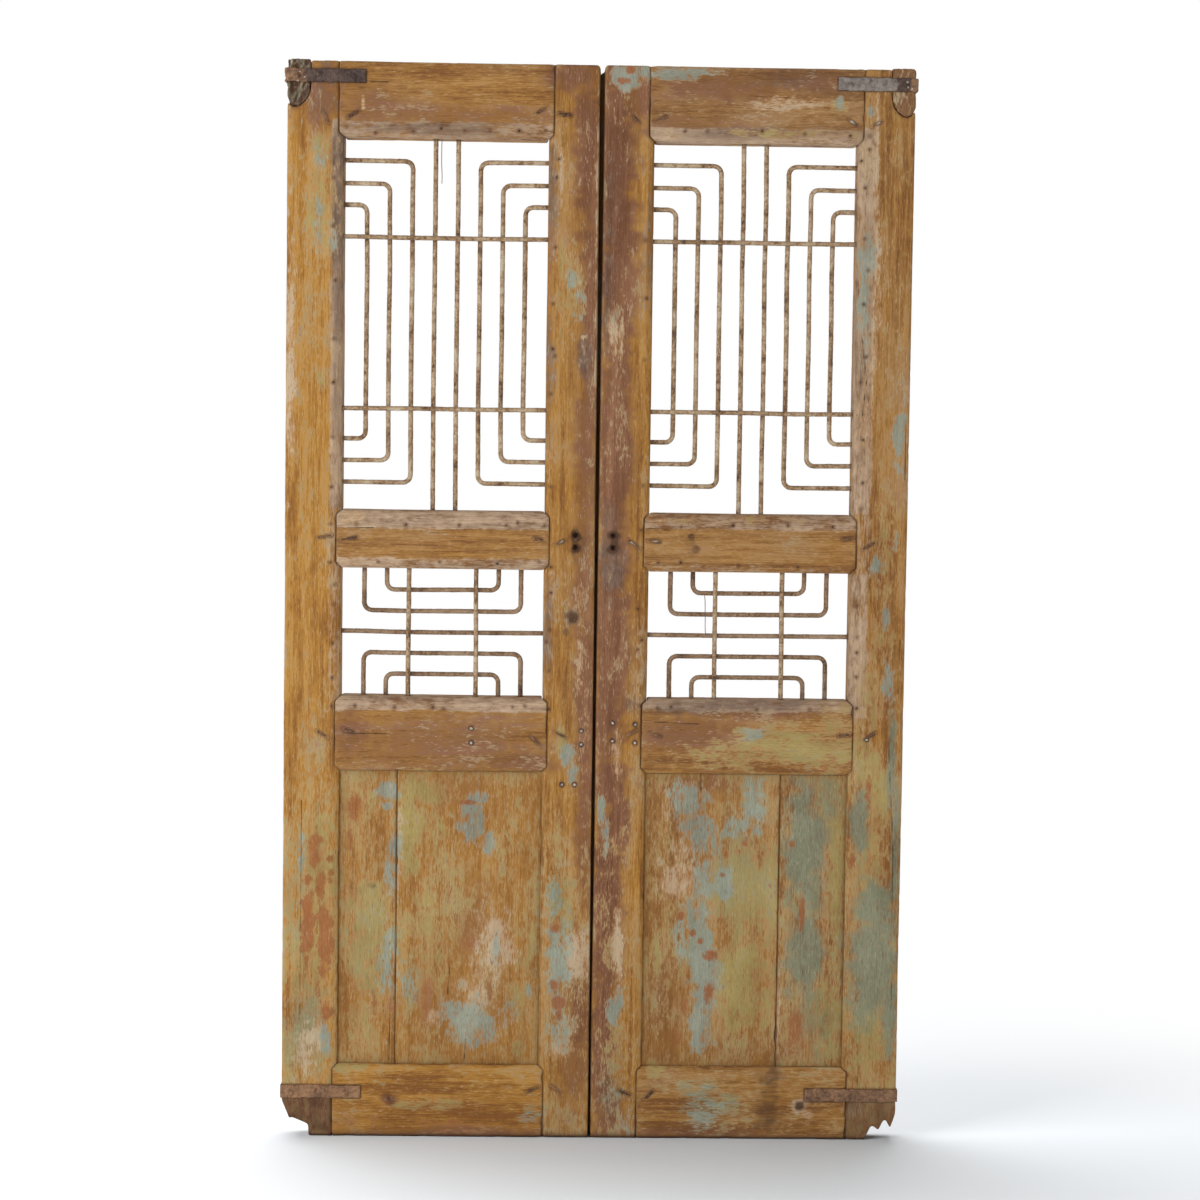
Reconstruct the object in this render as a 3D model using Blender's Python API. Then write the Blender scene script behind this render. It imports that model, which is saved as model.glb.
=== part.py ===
"""A pair of jali doors: two framed wooden leaves with iron rod grilles, hung on pivot pins.

Metres, +Z up. The front faces -Y, the floor is z = 0 and the gap between the leaves is at x = 0.
Each leaf is laid out in its own terms: u runs inwards from its hung edge, y is the depth, z the height.
"""

import math

import bmesh
import bpy
from mathutils import Vector

# Heights in one leaf, from the floor up
BOTTOM_RAIL_HEIGHT = 0.1286
PANEL_HEIGHT = 0.5133
PANEL_RAIL_HEIGHT = 0.1310
LOWER_GRILLE_HEIGHT = 0.2207
LOCK_RAIL_HEIGHT = 0.1019
UPPER_GRILLE_HEIGHT = 0.6352
TOP_RAIL_HEIGHT = 0.1293

# Widths in one leaf, from its hung edge inwards, and the space between the leaves
OUTER_STILE_WIDTH = 0.0974
OPENING_WIDTH = 0.3496
MEETING_STILE_WIDTH = 0.0874
LEAF_THICKNESS = 0.045
MEETING_GAP_TOP = 0.0070
MEETING_GAP_FOOT = 0.0035

# The lip on the right leaf that closes the gap from behind
LIP_THICKNESS = 0.018
LIP_DROP = 0.010
LIP_RUNNING_GAP = 0.0015
LIP_ROOT = 0.004

# Joinery
CLEARANCE = 0.0003
CHAMFER_WIDTH = 0.0094
CHAMFER_DEPTH = 0.0055
EAR_DEPTH = 0.0070
TENON_THICKNESS = 0.014
TENON_LENGTH = 0.048
TENON_MARGIN = 0.013
PANEL_RECESS = 0.010
PLANK_THICKNESS = 0.016
PLANK_SEAT = 0.010
TONGUE_THICKNESS = 0.005
TONGUE_DEPTH = 0.006
NARROW_PLANK_WIDTH = {"left": 0.099, "right": 0.114}

# Iron rods of the grilles
ROD_DIAMETER = 0.008
ROD_SEAT = 0.015
ROD_BEND_RADIUS = 0.013
ROD_DEPTH = 0.0235
UPPER_BEND_DROPS = (0.1125, 0.0756, 0.0365)
UPPER_BEND_RISES = (0.1220, 0.0845, 0.0465)
UPPER_BAR_DROP = 0.168
UPPER_BAR_RISE = 0.174
GRILLE_SPACES = 9
LOWER_GRILLE_LAYERS = 6

# Pivot pins, and the grafts that hold the upper ones
PIVOT_INSET = 0.020
PIN_DIAMETER = 0.014
PIN_LENGTH = 0.060
PIN_PROUD = 0.0008
LOWER_PIN_END = 0.034
GRAFT_WIDTH = {"left": 0.040, "right": 0.041}
GRAFT_LENGTH = {"left": 0.0812, "right": 0.0825}
GRAFT_TIP_INSET = {"left": 0.0105, "right": 0.0150}
GRAFT_INNER_TAPER = 0.040
GRAFT_HUNG_TAPER = 0.016
GRAFT_HUNG_SWEEP = math.radians(70)
GRAFT_PROUD = 0.0022

# Iron straps bent round the hung edge
STRAP_WIDTH = 0.0225
STRAP_THICKNESS = 0.003
TOP_STRAP_DROP = 0.026
TOP_STRAP_REACH = {"left": 0.134, "right": 0.134}
FOOT_STRAP_RISE = 0.0795
FOOT_STRAP_REACH = {"left": 0.138, "right": 0.161}
STRAP_NAIL_INSETS = (0.017, 0.056, 0.113)
STRAP_NAIL_STAGGER = 0.003

# Dome nails that hold the straps, one body with the strap that they are driven through
NAIL_SHANK = 0.004
NAIL_LENGTH = 0.012
NAIL_HEAD = 0.011
NAIL_DOME = 0.003
NAIL_CROWN = 0.0066
NAIL_SHOULDER = 0.0092
NAIL_SHOULDER_RISE = 0.0018
NAIL_TIP = 0.002
NAIL_SUNK = 0.0005

# Holes left by a latch on the meeting stiles
LATCH_HOLE_DIAMETER = 0.010
LATCH_HOLE_DEPTH = 0.012
LATCH_HOLE_SPACING = 0.021
LATCH_HOLE_INSET = {"left": 0.033, "right": 0.025}

# How far the broken foot corners have come away: inwards from the hung edge, up from the floor
BROKEN_FOOT = {
    "left": ((0.000, 0.064), (0.014, 0.030), (0.0175, 0.033), (0.047, 0.020), (0.047, 0.000)),
    "right": (
        (0.000, 0.048), (0.009, 0.020), (0.019, 0.040), (0.0295, 0.017), (0.042, 0.026), (0.057, 0.000),
    ),
}

# Facets of round pieces, and how far a cutter runs past what it cuts
ROD_SIDES = 10
BEND_STEPS = 4
GRAFT_STEPS = 5
NAIL_SIDES = 8
PIN_SIDES = 20
CORNER_ANGLE = math.radians(50)
OVERCUT = 0.006

# Levels and places that follow from the sizes above
PANEL_LOW = BOTTOM_RAIL_HEIGHT
PANEL_HIGH = PANEL_LOW + PANEL_HEIGHT
LOWER_GRILLE_LOW = PANEL_HIGH + PANEL_RAIL_HEIGHT
LOWER_GRILLE_HIGH = LOWER_GRILLE_LOW + LOWER_GRILLE_HEIGHT
UPPER_GRILLE_LOW = LOWER_GRILLE_HIGH + LOCK_RAIL_HEIGHT
UPPER_GRILLE_HIGH = UPPER_GRILLE_LOW + UPPER_GRILLE_HEIGHT
LEAF_HEIGHT = UPPER_GRILLE_HIGH + TOP_RAIL_HEIGHT
LOCK_RAIL_MIDDLE = LOWER_GRILLE_HIGH + LOCK_RAIL_HEIGHT / 2
RAILS = {
    "bottom_rail": (0.0, PANEL_LOW),
    "panel_rail": (PANEL_HIGH, LOWER_GRILLE_LOW),
    "lock_rail": (LOWER_GRILLE_HIGH, UPPER_GRILLE_LOW),
    "top_rail": (UPPER_GRILLE_HIGH, LEAF_HEIGHT),
}
OPENING_OUTER = OUTER_STILE_WIDTH
OPENING_INNER = OUTER_STILE_WIDTH + OPENING_WIDTH
OUTER_SHOULDER = OPENING_OUTER - CHAMFER_WIDTH
INNER_SHOULDER = OPENING_INNER + CHAMFER_WIDTH
LEAF_WIDTH_TOP = OPENING_INNER + MEETING_STILE_WIDTH
LEAF_WIDTH_FOOT = LEAF_WIDTH_TOP + (MEETING_GAP_TOP - MEETING_GAP_FOOT) / 2
HALF_WIDTH = LEAF_WIDTH_TOP + MEETING_GAP_TOP / 2
FRONT = -LEAF_THICKNESS / 2
BACK = LEAF_THICKNESS / 2
PLANK_FRONT = FRONT + PANEL_RECESS
PLANK_BACK = PLANK_FRONT + PLANK_THICKNESS
ROD_RADIUS = ROD_DIAMETER / 2
ROD_Y_BACK = FRONT + ROD_DEPTH
ROD_Y_FRONT = ROD_Y_BACK - ROD_DIAMETER - CLEARANCE
PIN_RADIUS = PIN_DIAMETER / 2

# Colour, roughness and metallic value of each finish
FINISHES = {
    "stained_wood": ((0.33, 0.19, 0.075, 1.0), 0.72, 0.0),
    "plank_wood": ((0.36, 0.22, 0.10, 1.0), 0.75, 0.0),
    "graft_wood": ((0.28, 0.16, 0.07, 1.0), 0.75, 0.0),
    "rod_iron": ((0.32, 0.25, 0.16, 1.0), 0.65, 0.6),
    "strap_iron": ((0.09, 0.065, 0.055, 1.0), 0.7, 0.8),
}

# The order of a leaf's own coordinates: inwards, depth, height
COORDINATES = "uyz"


class Leaf:
    """One leaf: which way it runs from its hung edge, and the empty on its pivot axis."""

    def __init__(self, side, direction):
        self.side = side
        self.direction = direction
        self.axis_x = -direction * (HALF_WIDTH - PIVOT_INSET)
        self.pivot = bpy.data.objects.new(side + "_leaf_pivot", None)
        self.pivot.location = (self.axis_x, 0.0, 0.0)
        bpy.context.scene.collection.objects.link(self.pivot)

    def local(self, point):
        """A place in the leaf's own terms, measured from its pivot axis."""
        return (self.direction * (point[0] - PIVOT_INSET), point[1], point[2])


def prism(outline, plane, low, high):
    """A flat outline in one plane, drawn out between two places across it."""
    first, second = (COORDINATES.index(name) for name in plane)
    across = next(i for i, name in enumerate(COORDINATES) if name not in plane)
    corners = []
    for place in (low, high):
        for a, b in outline:
            corner = [0.0, 0.0, 0.0]
            corner[first] = a
            corner[second] = b
            corner[across] = place
            corners.append(corner)
    count = len(outline)
    sides = [(i, (i + 1) % count, count + (i + 1) % count, count + i) for i in range(count)]
    return corners, sides + [tuple(range(count)), tuple(range(count, 2 * count))]


def block(u, y, z):
    """A box between pairs of places."""
    return prism([(u[0], z[0]), (u[1], z[0]), (u[1], z[1]), (u[0], z[1])], "uz", y[0], y[1])


def circle(centre, radius, sides):
    """Points round a circle in a plane."""
    turns = [2 * math.pi * (i + 0.5) / sides for i in range(sides)]
    return [(centre[0] + radius * math.cos(t), centre[1] + radius * math.sin(t)) for t in turns]


def bore_radius(diameter, sides):
    """The corner radius of a faceted bore that clears a round piece all the way round."""
    return (diameter / 2 + CLEARANCE) / math.cos(math.pi / sides)


def rounded(path, radius, steps):
    """A path whose corners are turned into arcs."""
    points = [Vector(path[0])]
    for before, corner, after in zip(path, path[1:], path[2:]):
        corner = Vector(corner)
        come = (Vector(before) - corner).normalized()
        go = (Vector(after) - corner).normalized()
        half = come.angle(go) / 2
        middle = corner + (come + go).normalized() * (radius / math.sin(half))
        start = corner + come * (radius / math.tan(half)) - middle
        end = corner + go * (radius / math.tan(half)) - middle
        sweep = start.angle(end)
        for i in range(steps + 1):
            part = i / steps
            spoke = start * math.sin((1 - part) * sweep) + end * math.sin(part * sweep)
            points.append(middle + spoke / math.sin(sweep))
    points.append(Vector(path[-1]))
    return points


def tube(path, radii, normal, sides):
    """A round bar along a path that lies in one plane, with a radius at each point and flat ends."""
    normal = Vector(normal)
    corners = []
    for i, point in enumerate(path):
        before = next((p for p in reversed(path[:i]) if (p - point).length > CLEARANCE / 10), None)
        after = next((p for p in path[i + 1:] if (p - point).length > CLEARANCE / 10), None)
        come = (point - before).normalized() if before else Vector()
        go = (after - point).normalized() if after else Vector()
        across = (come + go).normalized().cross(normal)
        for a, b in circle((0.0, 0.0), radii[i], sides):
            corners.append(point + across * a + normal * b)
    faces = [tuple(range(sides)), tuple(range(len(corners) - sides, len(corners)))]
    for ring in range(len(path) - 1):
        for i in range(sides):
            low = ring * sides + i
            side_low = ring * sides + (i + 1) % sides
            faces.append((low, side_low, side_low + sides, low + sides))
    return corners, faces


def solid_mesh(name, solids, leaf):
    """One mesh of separate closed solids, each with its faces pointing out."""
    mesh = bpy.data.meshes.new(name)
    whole = bmesh.new()
    for corners, faces in solids:
        shape = bmesh.new()
        points = [shape.verts.new(leaf.local(corner)) for corner in corners]
        for face in faces:
            shape.faces.new([points[i] for i in face])
        bmesh.ops.recalc_face_normals(shape, faces=shape.faces)
        if shape.calc_volume(signed=True) < 0:
            bmesh.ops.reverse_faces(shape, faces=shape.faces)
        shape.to_mesh(mesh)
        shape.free()
        whole.from_mesh(mesh)
    whole.to_mesh(mesh)
    whole.free()
    return mesh


def finish_material(finish):
    """The material of a finish, made the first time that it is asked for."""
    material = bpy.data.materials.get(finish)
    if material is None:
        colour, roughness, metallic = FINISHES[finish]
        material = bpy.data.materials.new(finish)
        material.use_nodes = True
        surface = material.node_tree.nodes["Principled BSDF"]
        surface.inputs["Base Color"].default_value = colour
        surface.inputs["Roughness"].default_value = roughness
        surface.inputs["Metallic"].default_value = metallic
    return material


def add_piece(leaf, name, solids, finish):
    """A named piece on its leaf's pivot."""
    full_name = leaf.side + "_" + name
    piece = bpy.data.objects.new(full_name, solid_mesh(full_name, solids, leaf))
    piece.parent = leaf.pivot
    piece.data.materials.append(finish_material(finish))
    bpy.context.scene.collection.objects.link(piece)
    return piece


def reshape(piece, leaf, solids, operation):
    """Join solids to a piece, or cut them out of it."""
    tool = bpy.data.objects.new("tool", solid_mesh("tool", solids, leaf))
    tool.parent = leaf.pivot
    bpy.context.scene.collection.objects.link(tool)
    modifier = piece.modifiers.new("shape", "BOOLEAN")
    modifier.solver = "EXACT"
    modifier.operation = operation
    modifier.object = tool
    bpy.context.view_layer.update()
    shaped = bpy.data.meshes.new_from_object(piece.evaluated_get(bpy.context.evaluated_depsgraph_get()))
    piece.modifiers.clear()
    plain = piece.data
    piece.data = shaped
    bpy.data.meshes.remove(plain)
    bpy.data.objects.remove(tool)


def join(piece, leaf, solids):
    """Make solids one body with a piece."""
    for solid in solids:
        reshape(piece, leaf, [solid], "UNION")


def cut(piece, leaf, *groups):
    """Cut groups of solids out of a piece, where the solids of one group are clear of each other."""
    for solids in groups:
        if solids:
            reshape(piece, leaf, solids, "DIFFERENCE")


def smooth(piece):
    """Shade a round piece smooth, with its corners kept."""
    piece.data.shade_smooth()
    piece.data.set_sharp_from_angle(angle=CORNER_ANGLE)


def rod_place(number):
    """How far in a grille's upright rod stands, counted in spaces across the opening."""
    return OPENING_OUTER + OPENING_WIDTH * number / GRILLE_SPACES


def upper_rods():
    """Paths of the upper grille's rods, by name."""
    low = UPPER_GRILLE_LOW
    high = UPPER_GRILLE_HIGH
    across = (OPENING_OUTER - ROD_SEAT, OPENING_INNER + ROD_SEAT)
    middle = GRILLE_SPACES // 2
    rods = {}
    for side, number in (("outer", middle), ("inner", GRILLE_SPACES - middle)):
        ends = [(rod_place(number), low - ROD_SEAT), (rod_place(number), high + ROD_SEAT)]
        rods["upper_%s_straight_rod" % side] = [(u, ROD_Y_BACK, z) for u, z in ends]
    for name, z in (("upper_top_bar", high - UPPER_BAR_DROP), ("upper_low_bar", low + UPPER_BAR_RISE)):
        rods[name] = [(u, ROD_Y_FRONT, z) for u in across]
    for i, (drop, rise) in enumerate(zip(UPPER_BEND_DROPS, UPPER_BEND_RISES)):
        uprights = {"outer": rod_place(i + 1), "inner": rod_place(GRILLE_SPACES - i - 1)}
        for (side, upright), end in zip(uprights.items(), across):
            corners = [(end, high - drop), (upright, high - drop), (upright, low + rise), (end, low + rise)]
            rods["upper_%s_bent_rod_%d" % (side, i + 1)] = [(u, ROD_Y_BACK, z) for u, z in corners]
    return rods


def lower_rods():
    """Paths of the lower grille's rods, by name."""
    low = LOWER_GRILLE_LOW
    high = LOWER_GRILLE_HIGH
    layer = LOWER_GRILLE_HEIGHT / LOWER_GRILLE_LAYERS
    ends = (low - ROD_SEAT, high + ROD_SEAT)
    third = GRILLE_SPACES // 3
    rods = {}
    for side, number in (("outer", third), ("inner", GRILLE_SPACES - third)):
        rods["lower_%s_straight_rod" % side] = [(rod_place(number), ROD_Y_FRONT, z) for z in ends]
    across = (OPENING_OUTER - ROD_SEAT, OPENING_INNER + ROD_SEAT)
    rods["lower_bar"] = [(u, ROD_Y_BACK, (low + high) / 2) for u in across]
    for number, size in ((1, "wide"), (2, "narrow")):
        reach = layer * (LOWER_GRILLE_LAYERS // 2 - number)
        first = rod_place(number)
        last = rod_place(GRILLE_SPACES - number)
        for name, end, turn in (("hung", ends[1], high - reach), ("standing", ends[0], low + reach)):
            corners = [(first, end), (first, turn), (last, turn), (last, end)]
            rods["lower_%s_%s_loop" % (name, size)] = [(u, ROD_Y_BACK, z) for u, z in corners]
    return rods


def rod_holes():
    """Holes for the rods' ends, by the frame piece that they are drilled in."""
    holes = {name: [] for name in ("outer_stile", "meeting_stile", *RAILS)}
    radius = bore_radius(ROD_DIAMETER, ROD_SIDES)
    for path in (*upper_rods().values(), *lower_rods().values()):
        for u, y, z in (path[0], path[-1]):
            if u < OPENING_OUTER:
                name = "outer_stile"
                span = (u - CLEARANCE, OPENING_OUTER + OVERCUT)
            elif u > OPENING_INNER:
                name = "meeting_stile"
                span = (OPENING_INNER - OVERCUT, u + CLEARANCE)
            else:
                name = next(rail for rail, (low, high) in RAILS.items() if low < z < high)
                low, high = RAILS[name]
                span = (low - OVERCUT, z + CLEARANCE)
                if high - z < z - low:
                    span = (z - CLEARANCE, high + OVERCUT)
            if name in RAILS:
                holes[name].append(prism(circle((u, y), radius, ROD_SIDES), "uy", *span))
            else:
                holes[name].append(prism(circle((z, y), radius, ROD_SIDES), "zy", *span))
    return holes


def rail_face(low, high):
    """The front of a rail: mitred ears reach over the stiles where an edge of it faces an opening."""
    foot = OPENING_OUTER if low > 0 else OUTER_SHOULDER
    head = OPENING_OUTER if high < LEAF_HEIGHT else OUTER_SHOULDER
    half = [(foot, low)]
    if low > 0:
        half.append((OUTER_SHOULDER, low + CHAMFER_WIDTH))
    if high < LEAF_HEIGHT:
        half.append((OUTER_SHOULDER, high - CHAMFER_WIDTH))
    half.append((head, high))
    centre = OPENING_OUTER + OPENING_INNER
    return half + [(centre - u, z) for u, z in reversed(half)]


def ear_housings(edge, inwards):
    """Housings in a stile for the rails' ears, from the stile's opening edge."""
    shoulder = edge - inwards * (CHAMFER_WIDTH + CLEARANCE)
    past = edge + inwards * OVERCUT
    slack = CLEARANCE * math.sqrt(2)
    housings = []
    for low, high in RAILS.values():
        foot = [(past, low - slack - OVERCUT), (shoulder, low + CHAMFER_WIDTH + CLEARANCE - slack)]
        head = [(shoulder, high - CHAMFER_WIDTH - CLEARANCE + slack), (past, high + slack + OVERCUT)]
        if low == 0:
            foot = [(past, -OVERCUT), (shoulder, -OVERCUT)]
        if high == LEAF_HEIGHT:
            head = [(shoulder, high + OVERCUT), (past, high + OVERCUT)]
        housings.append(prism(foot + head, "uz", FRONT - OVERCUT, FRONT + EAR_DEPTH + CLEARANCE))
    return housings


def chamfer(edge, inwards, plane, low, high):
    """A wedge off the front arris along an edge."""
    slope = CHAMFER_DEPTH / CHAMFER_WIDTH
    outside = FRONT - OVERCUT * slope
    wedge = [
        (edge - inwards * (CHAMFER_WIDTH + OVERCUT), outside),
        (edge + inwards * OVERCUT, FRONT + CHAMFER_DEPTH + OVERCUT * slope),
        (edge + inwards * OVERCUT, outside),
    ]
    return prism(wedge, plane, low, high)


def tenon_span(low, high):
    """Heights between which a rail's tenons run, clear of the panel's grooves."""
    return low + PLANK_SEAT + TENON_MARGIN, high - PLANK_SEAT - TENON_MARGIN


def mortises(edge, inwards):
    """Mortises in a stile for the rails' tenons."""
    depth = edge - inwards * (TENON_LENGTH + CLEARANCE)
    past = edge + inwards * OVERCUT
    reach = (min(depth, past), max(depth, past))
    half = TENON_THICKNESS / 2 + CLEARANCE
    sunk = []
    for low, high in RAILS.values():
        foot, head = tenon_span(low, high)
        sunk.append(block(reach, (-half, half), (foot - CLEARANCE, head + CLEARANCE)))
    return sunk


def panel_groove(edge, inwards):
    """The groove in a stile that the planks stand in."""
    depth = edge - inwards * (PLANK_SEAT + CLEARANCE)
    past = edge + inwards * OVERCUT
    return block(
        (min(depth, past), max(depth, past)),
        (PLANK_FRONT - CLEARANCE, PLANK_BACK + CLEARANCE),
        (PANEL_LOW - PLANK_SEAT - CLEARANCE, PANEL_HIGH + PLANK_SEAT + CLEARANCE),
    )


def meeting_edge(z):
    """How far in the leaf's meeting edge lies at a height."""
    return LEAF_WIDTH_FOOT + (LEAF_WIDTH_TOP - LEAF_WIDTH_FOOT) * z / LEAF_HEIGHT


def outset(path, extra):
    """A path in one plane moved to its right-hand side."""
    moved = []
    for i, point in enumerate(path):
        along = (Vector(path[min(i + 1, len(path) - 1)]) - Vector(path[max(i - 1, 0)])).normalized()
        moved.append((point[0] + along.y * extra, point[1] - along.x * extra))
    return moved


def graft_edge(side):
    """The graft's edge in the stile, from the hung edge round the tip of its tongue to the head."""
    head = LEAF_HEIGHT + GRAFT_PROUD
    foot = head - GRAFT_LENGTH[side]
    tip = GRAFT_TIP_INSET[side]
    hung_reach = tip / math.sin(GRAFT_HUNG_SWEEP)
    hung_rise = GRAFT_HUNG_TAPER / (1 - math.cos(GRAFT_HUNG_SWEEP))
    edge = []
    for i in range(GRAFT_STEPS, 0, -1):
        turn = GRAFT_HUNG_SWEEP * i / GRAFT_STEPS
        edge.append((tip - hung_reach * math.sin(turn), foot + hung_rise * (1 - math.cos(turn))))
    for i in range(GRAFT_STEPS + 1):
        turn = math.pi / 2 * i / GRAFT_STEPS
        inner = tip + (GRAFT_WIDTH[side] - tip) * math.sin(turn)
        edge.append((inner, foot + GRAFT_INNER_TAPER * (1 - math.cos(turn))))
    return edge + [(GRAFT_WIDTH[side], head)]


def graft_housing(side):
    """The cut in the hung stile's head that takes the graft."""
    edge = outset(graft_edge(side), CLEARANCE)
    head = LEAF_HEIGHT + OVERCUT
    outline = [(-OVERCUT, edge[0][1])] + edge[:-1] + [(edge[-1][0], head), (-OVERCUT, head)]
    return prism(outline, "uz", FRONT - OVERCUT, BACK + OVERCUT)


def broken_corner(side):
    """What has broken away from the foot of the hung stile."""
    break_line = list(BROKEN_FOOT[side])
    start = (-OVERCUT, break_line[0][1])
    end = (break_line[-1][0], -OVERCUT)
    outline = [start] + break_line[:-1] + [end, (-OVERCUT, -OVERCUT)]
    return prism(outline, "uz", FRONT - OVERCUT, BACK + OVERCUT)


def strap_nail_places():
    """Where nails hold the straps, from the hung edge inwards and up from the floor."""
    places = []
    for middle in (LEAF_HEIGHT - TOP_STRAP_DROP, FOOT_STRAP_RISE):
        for i, inset in enumerate(STRAP_NAIL_INSETS):
            places.append((inset, middle + (STRAP_NAIL_STAGGER if i % 2 else -STRAP_NAIL_STAGGER)))
    return places


def nail_holes():
    """Blind holes for the strap nails, from both faces of a leaf."""
    depth = NAIL_LENGTH + CLEARANCE
    radius = bore_radius(NAIL_SHANK, NAIL_SIDES)
    holes = []
    for place in strap_nail_places():
        holes.append(prism(circle(place, radius, NAIL_SIDES), "uz", FRONT - OVERCUT, FRONT + depth))
        holes.append(prism(circle(place, radius, NAIL_SIDES), "uz", BACK - depth, BACK + OVERCUT))
    return holes


def holes_within(holes, low, high):
    """The holes of a list whose middle lies between two places across the leaf."""
    return [hole for hole in holes if low < sum(corner[0] for corner in hole[0]) / len(hole[0]) < high]


def holes_between(holes, low, high):
    """The holes of a list whose middle lies between two heights."""
    return [hole for hole in holes if low < sum(corner[2] for corner in hole[0]) / len(hole[0]) < high]


def build_outer_stile(leaf, drilled):
    """The hung stile: housed for the graft, the rails and the rods, bored for the lower pin."""
    body = block((0.0, OUTER_STILE_WIDTH), (FRONT, BACK), (0.0, LEAF_HEIGHT))
    stile = add_piece(leaf, "outer_stile", [body], "stained_wood")
    arris = chamfer(OPENING_OUTER, 1, "uy", -OVERCUT, LEAF_HEIGHT + OVERCUT)
    lower_bore = prism(
        circle((PIVOT_INSET, 0.0), bore_radius(PIN_DIAMETER, PIN_SIDES), PIN_SIDES),
        "uy", 0.0, LOWER_PIN_END + PIN_LENGTH + CLEARANCE,
    )
    nails = holes_within(nail_holes(), 0.0, OUTER_STILE_WIDTH)
    cut(stile, leaf, ear_housings(OPENING_OUTER, 1) + [graft_housing(leaf.side), broken_corner(leaf.side)])
    cut(stile, leaf, [arris], [panel_groove(OPENING_OUTER, 1)] + mortises(OPENING_OUTER, 1))
    cut(stile, leaf, drilled["outer_stile"] + [lower_bore], nails)


def build_meeting_stile(leaf, drilled):
    """The meeting stile, with the latch's holes, and on the right leaf the lip behind the gap."""
    edge = [(meeting_edge(0.0), 0.0), (meeting_edge(LEAF_HEIGHT), LEAF_HEIGHT)]
    outline = [(OPENING_INNER, 0.0)] + edge + [(OPENING_INNER, LEAF_HEIGHT)]
    stile = add_piece(leaf, "meeting_stile", [prism(outline, "uz", FRONT, BACK)], "stained_wood")
    if leaf.side == "right":
        lip_head = LEAF_HEIGHT - LIP_DROP
        lip = [(meeting_edge(z) - LIP_ROOT, z) for z in (0.0, lip_head)]
        for z in (lip_head, 0.0):
            lip.append((2 * HALF_WIDTH - meeting_edge(z) - LIP_RUNNING_GAP, z))
        join(stile, leaf, [prism(lip, "uz", BACK - LIP_THICKNESS, BACK)])
    arris = chamfer(OPENING_INNER, -1, "uy", -OVERCUT, LEAF_HEIGHT + OVERCUT)
    latch_u = LEAF_WIDTH_TOP - LATCH_HOLE_INSET[leaf.side]
    latch = []
    for z in (LOCK_RAIL_MIDDLE - LATCH_HOLE_SPACING / 2, LOCK_RAIL_MIDDLE + LATCH_HOLE_SPACING / 2):
        ring = circle((latch_u, z), LATCH_HOLE_DIAMETER / 2, ROD_SIDES)
        latch.append(prism(ring, "uz", FRONT - OVERCUT, FRONT + LATCH_HOLE_DEPTH))
    cut(stile, leaf, ear_housings(OPENING_INNER, -1), [arris])
    cut(stile, leaf, [panel_groove(OPENING_INNER, -1)] + mortises(OPENING_INNER, -1))
    cut(stile, leaf, drilled["meeting_stile"] + latch)


def build_rail(leaf, name, drilled):
    """A rail: its body between the stiles, ears over their front, tenons in their mortises."""
    low, high = RAILS[name]
    span = (OPENING_OUTER + CLEARANCE, OPENING_INNER - CLEARANCE)
    half = TENON_THICKNESS / 2
    rail = add_piece(leaf, name, [block(span, (FRONT, BACK), (low, high))], "stained_wood")
    tenon = (OPENING_OUTER - TENON_LENGTH, OPENING_INNER + TENON_LENGTH)
    join(rail, leaf, [
        prism(rail_face(low, high), "uz", FRONT, FRONT + EAR_DEPTH),
        block(tenon, (-half, half), tenon_span(low, high)),
    ])
    arrises = []
    grooves = []
    for edge, way, plank_edge in ((low, -1, PANEL_HIGH), (high, 1, PANEL_LOW)):
        if 0 < edge < LEAF_HEIGHT:
            arrises.append(chamfer(edge, way, "zy", OUTER_SHOULDER - OVERCUT, INNER_SHOULDER + OVERCUT))
        if edge == plank_edge:
            heights = sorted((edge - way * (PLANK_SEAT + CLEARANCE), edge + way * OVERCUT))
            depths = (PLANK_FRONT - CLEARANCE, PLANK_BACK + CLEARANCE)
            grooves.append(block((OPENING_OUTER - OVERCUT, OPENING_INNER + OVERCUT), depths, heights))
    nails = holes_between(nail_holes(), low, high)
    cut(rail, leaf, arrises, grooves)
    cut(rail, leaf, drilled[name], holes_within(nails, tenon[0], tenon[1]))


def build_planks(leaf):
    """The panel's two planks, tongued together and standing in the frame's grooves."""
    seam = OPENING_OUTER + NARROW_PLANK_WIDTH[leaf.side]
    depths = (PLANK_FRONT, PLANK_BACK)
    heights = (PANEL_LOW - PLANK_SEAT, PANEL_HIGH + PLANK_SEAT)
    middle = (PLANK_FRONT + PLANK_BACK) / 2
    half = TONGUE_THICKNESS / 2
    narrow_body = block((OPENING_OUTER - PLANK_SEAT, seam), depths, heights)
    narrow = add_piece(leaf, "narrow_plank", [narrow_body], "plank_wood")
    tongue = block((seam - TONGUE_DEPTH, seam + TONGUE_DEPTH), (middle - half, middle + half), heights)
    join(narrow, leaf, [tongue])
    wide_body = block((seam + CLEARANCE, OPENING_INNER + PLANK_SEAT), depths, heights)
    wide = add_piece(leaf, "wide_plank", [wide_body], "plank_wood")
    groove = block(
        (seam - OVERCUT, seam + TONGUE_DEPTH + CLEARANCE),
        (middle - half - CLEARANCE, middle + half + CLEARANCE),
        (heights[0] - OVERCUT, heights[1] + OVERCUT),
    )
    cut(wide, leaf, [groove])


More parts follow.
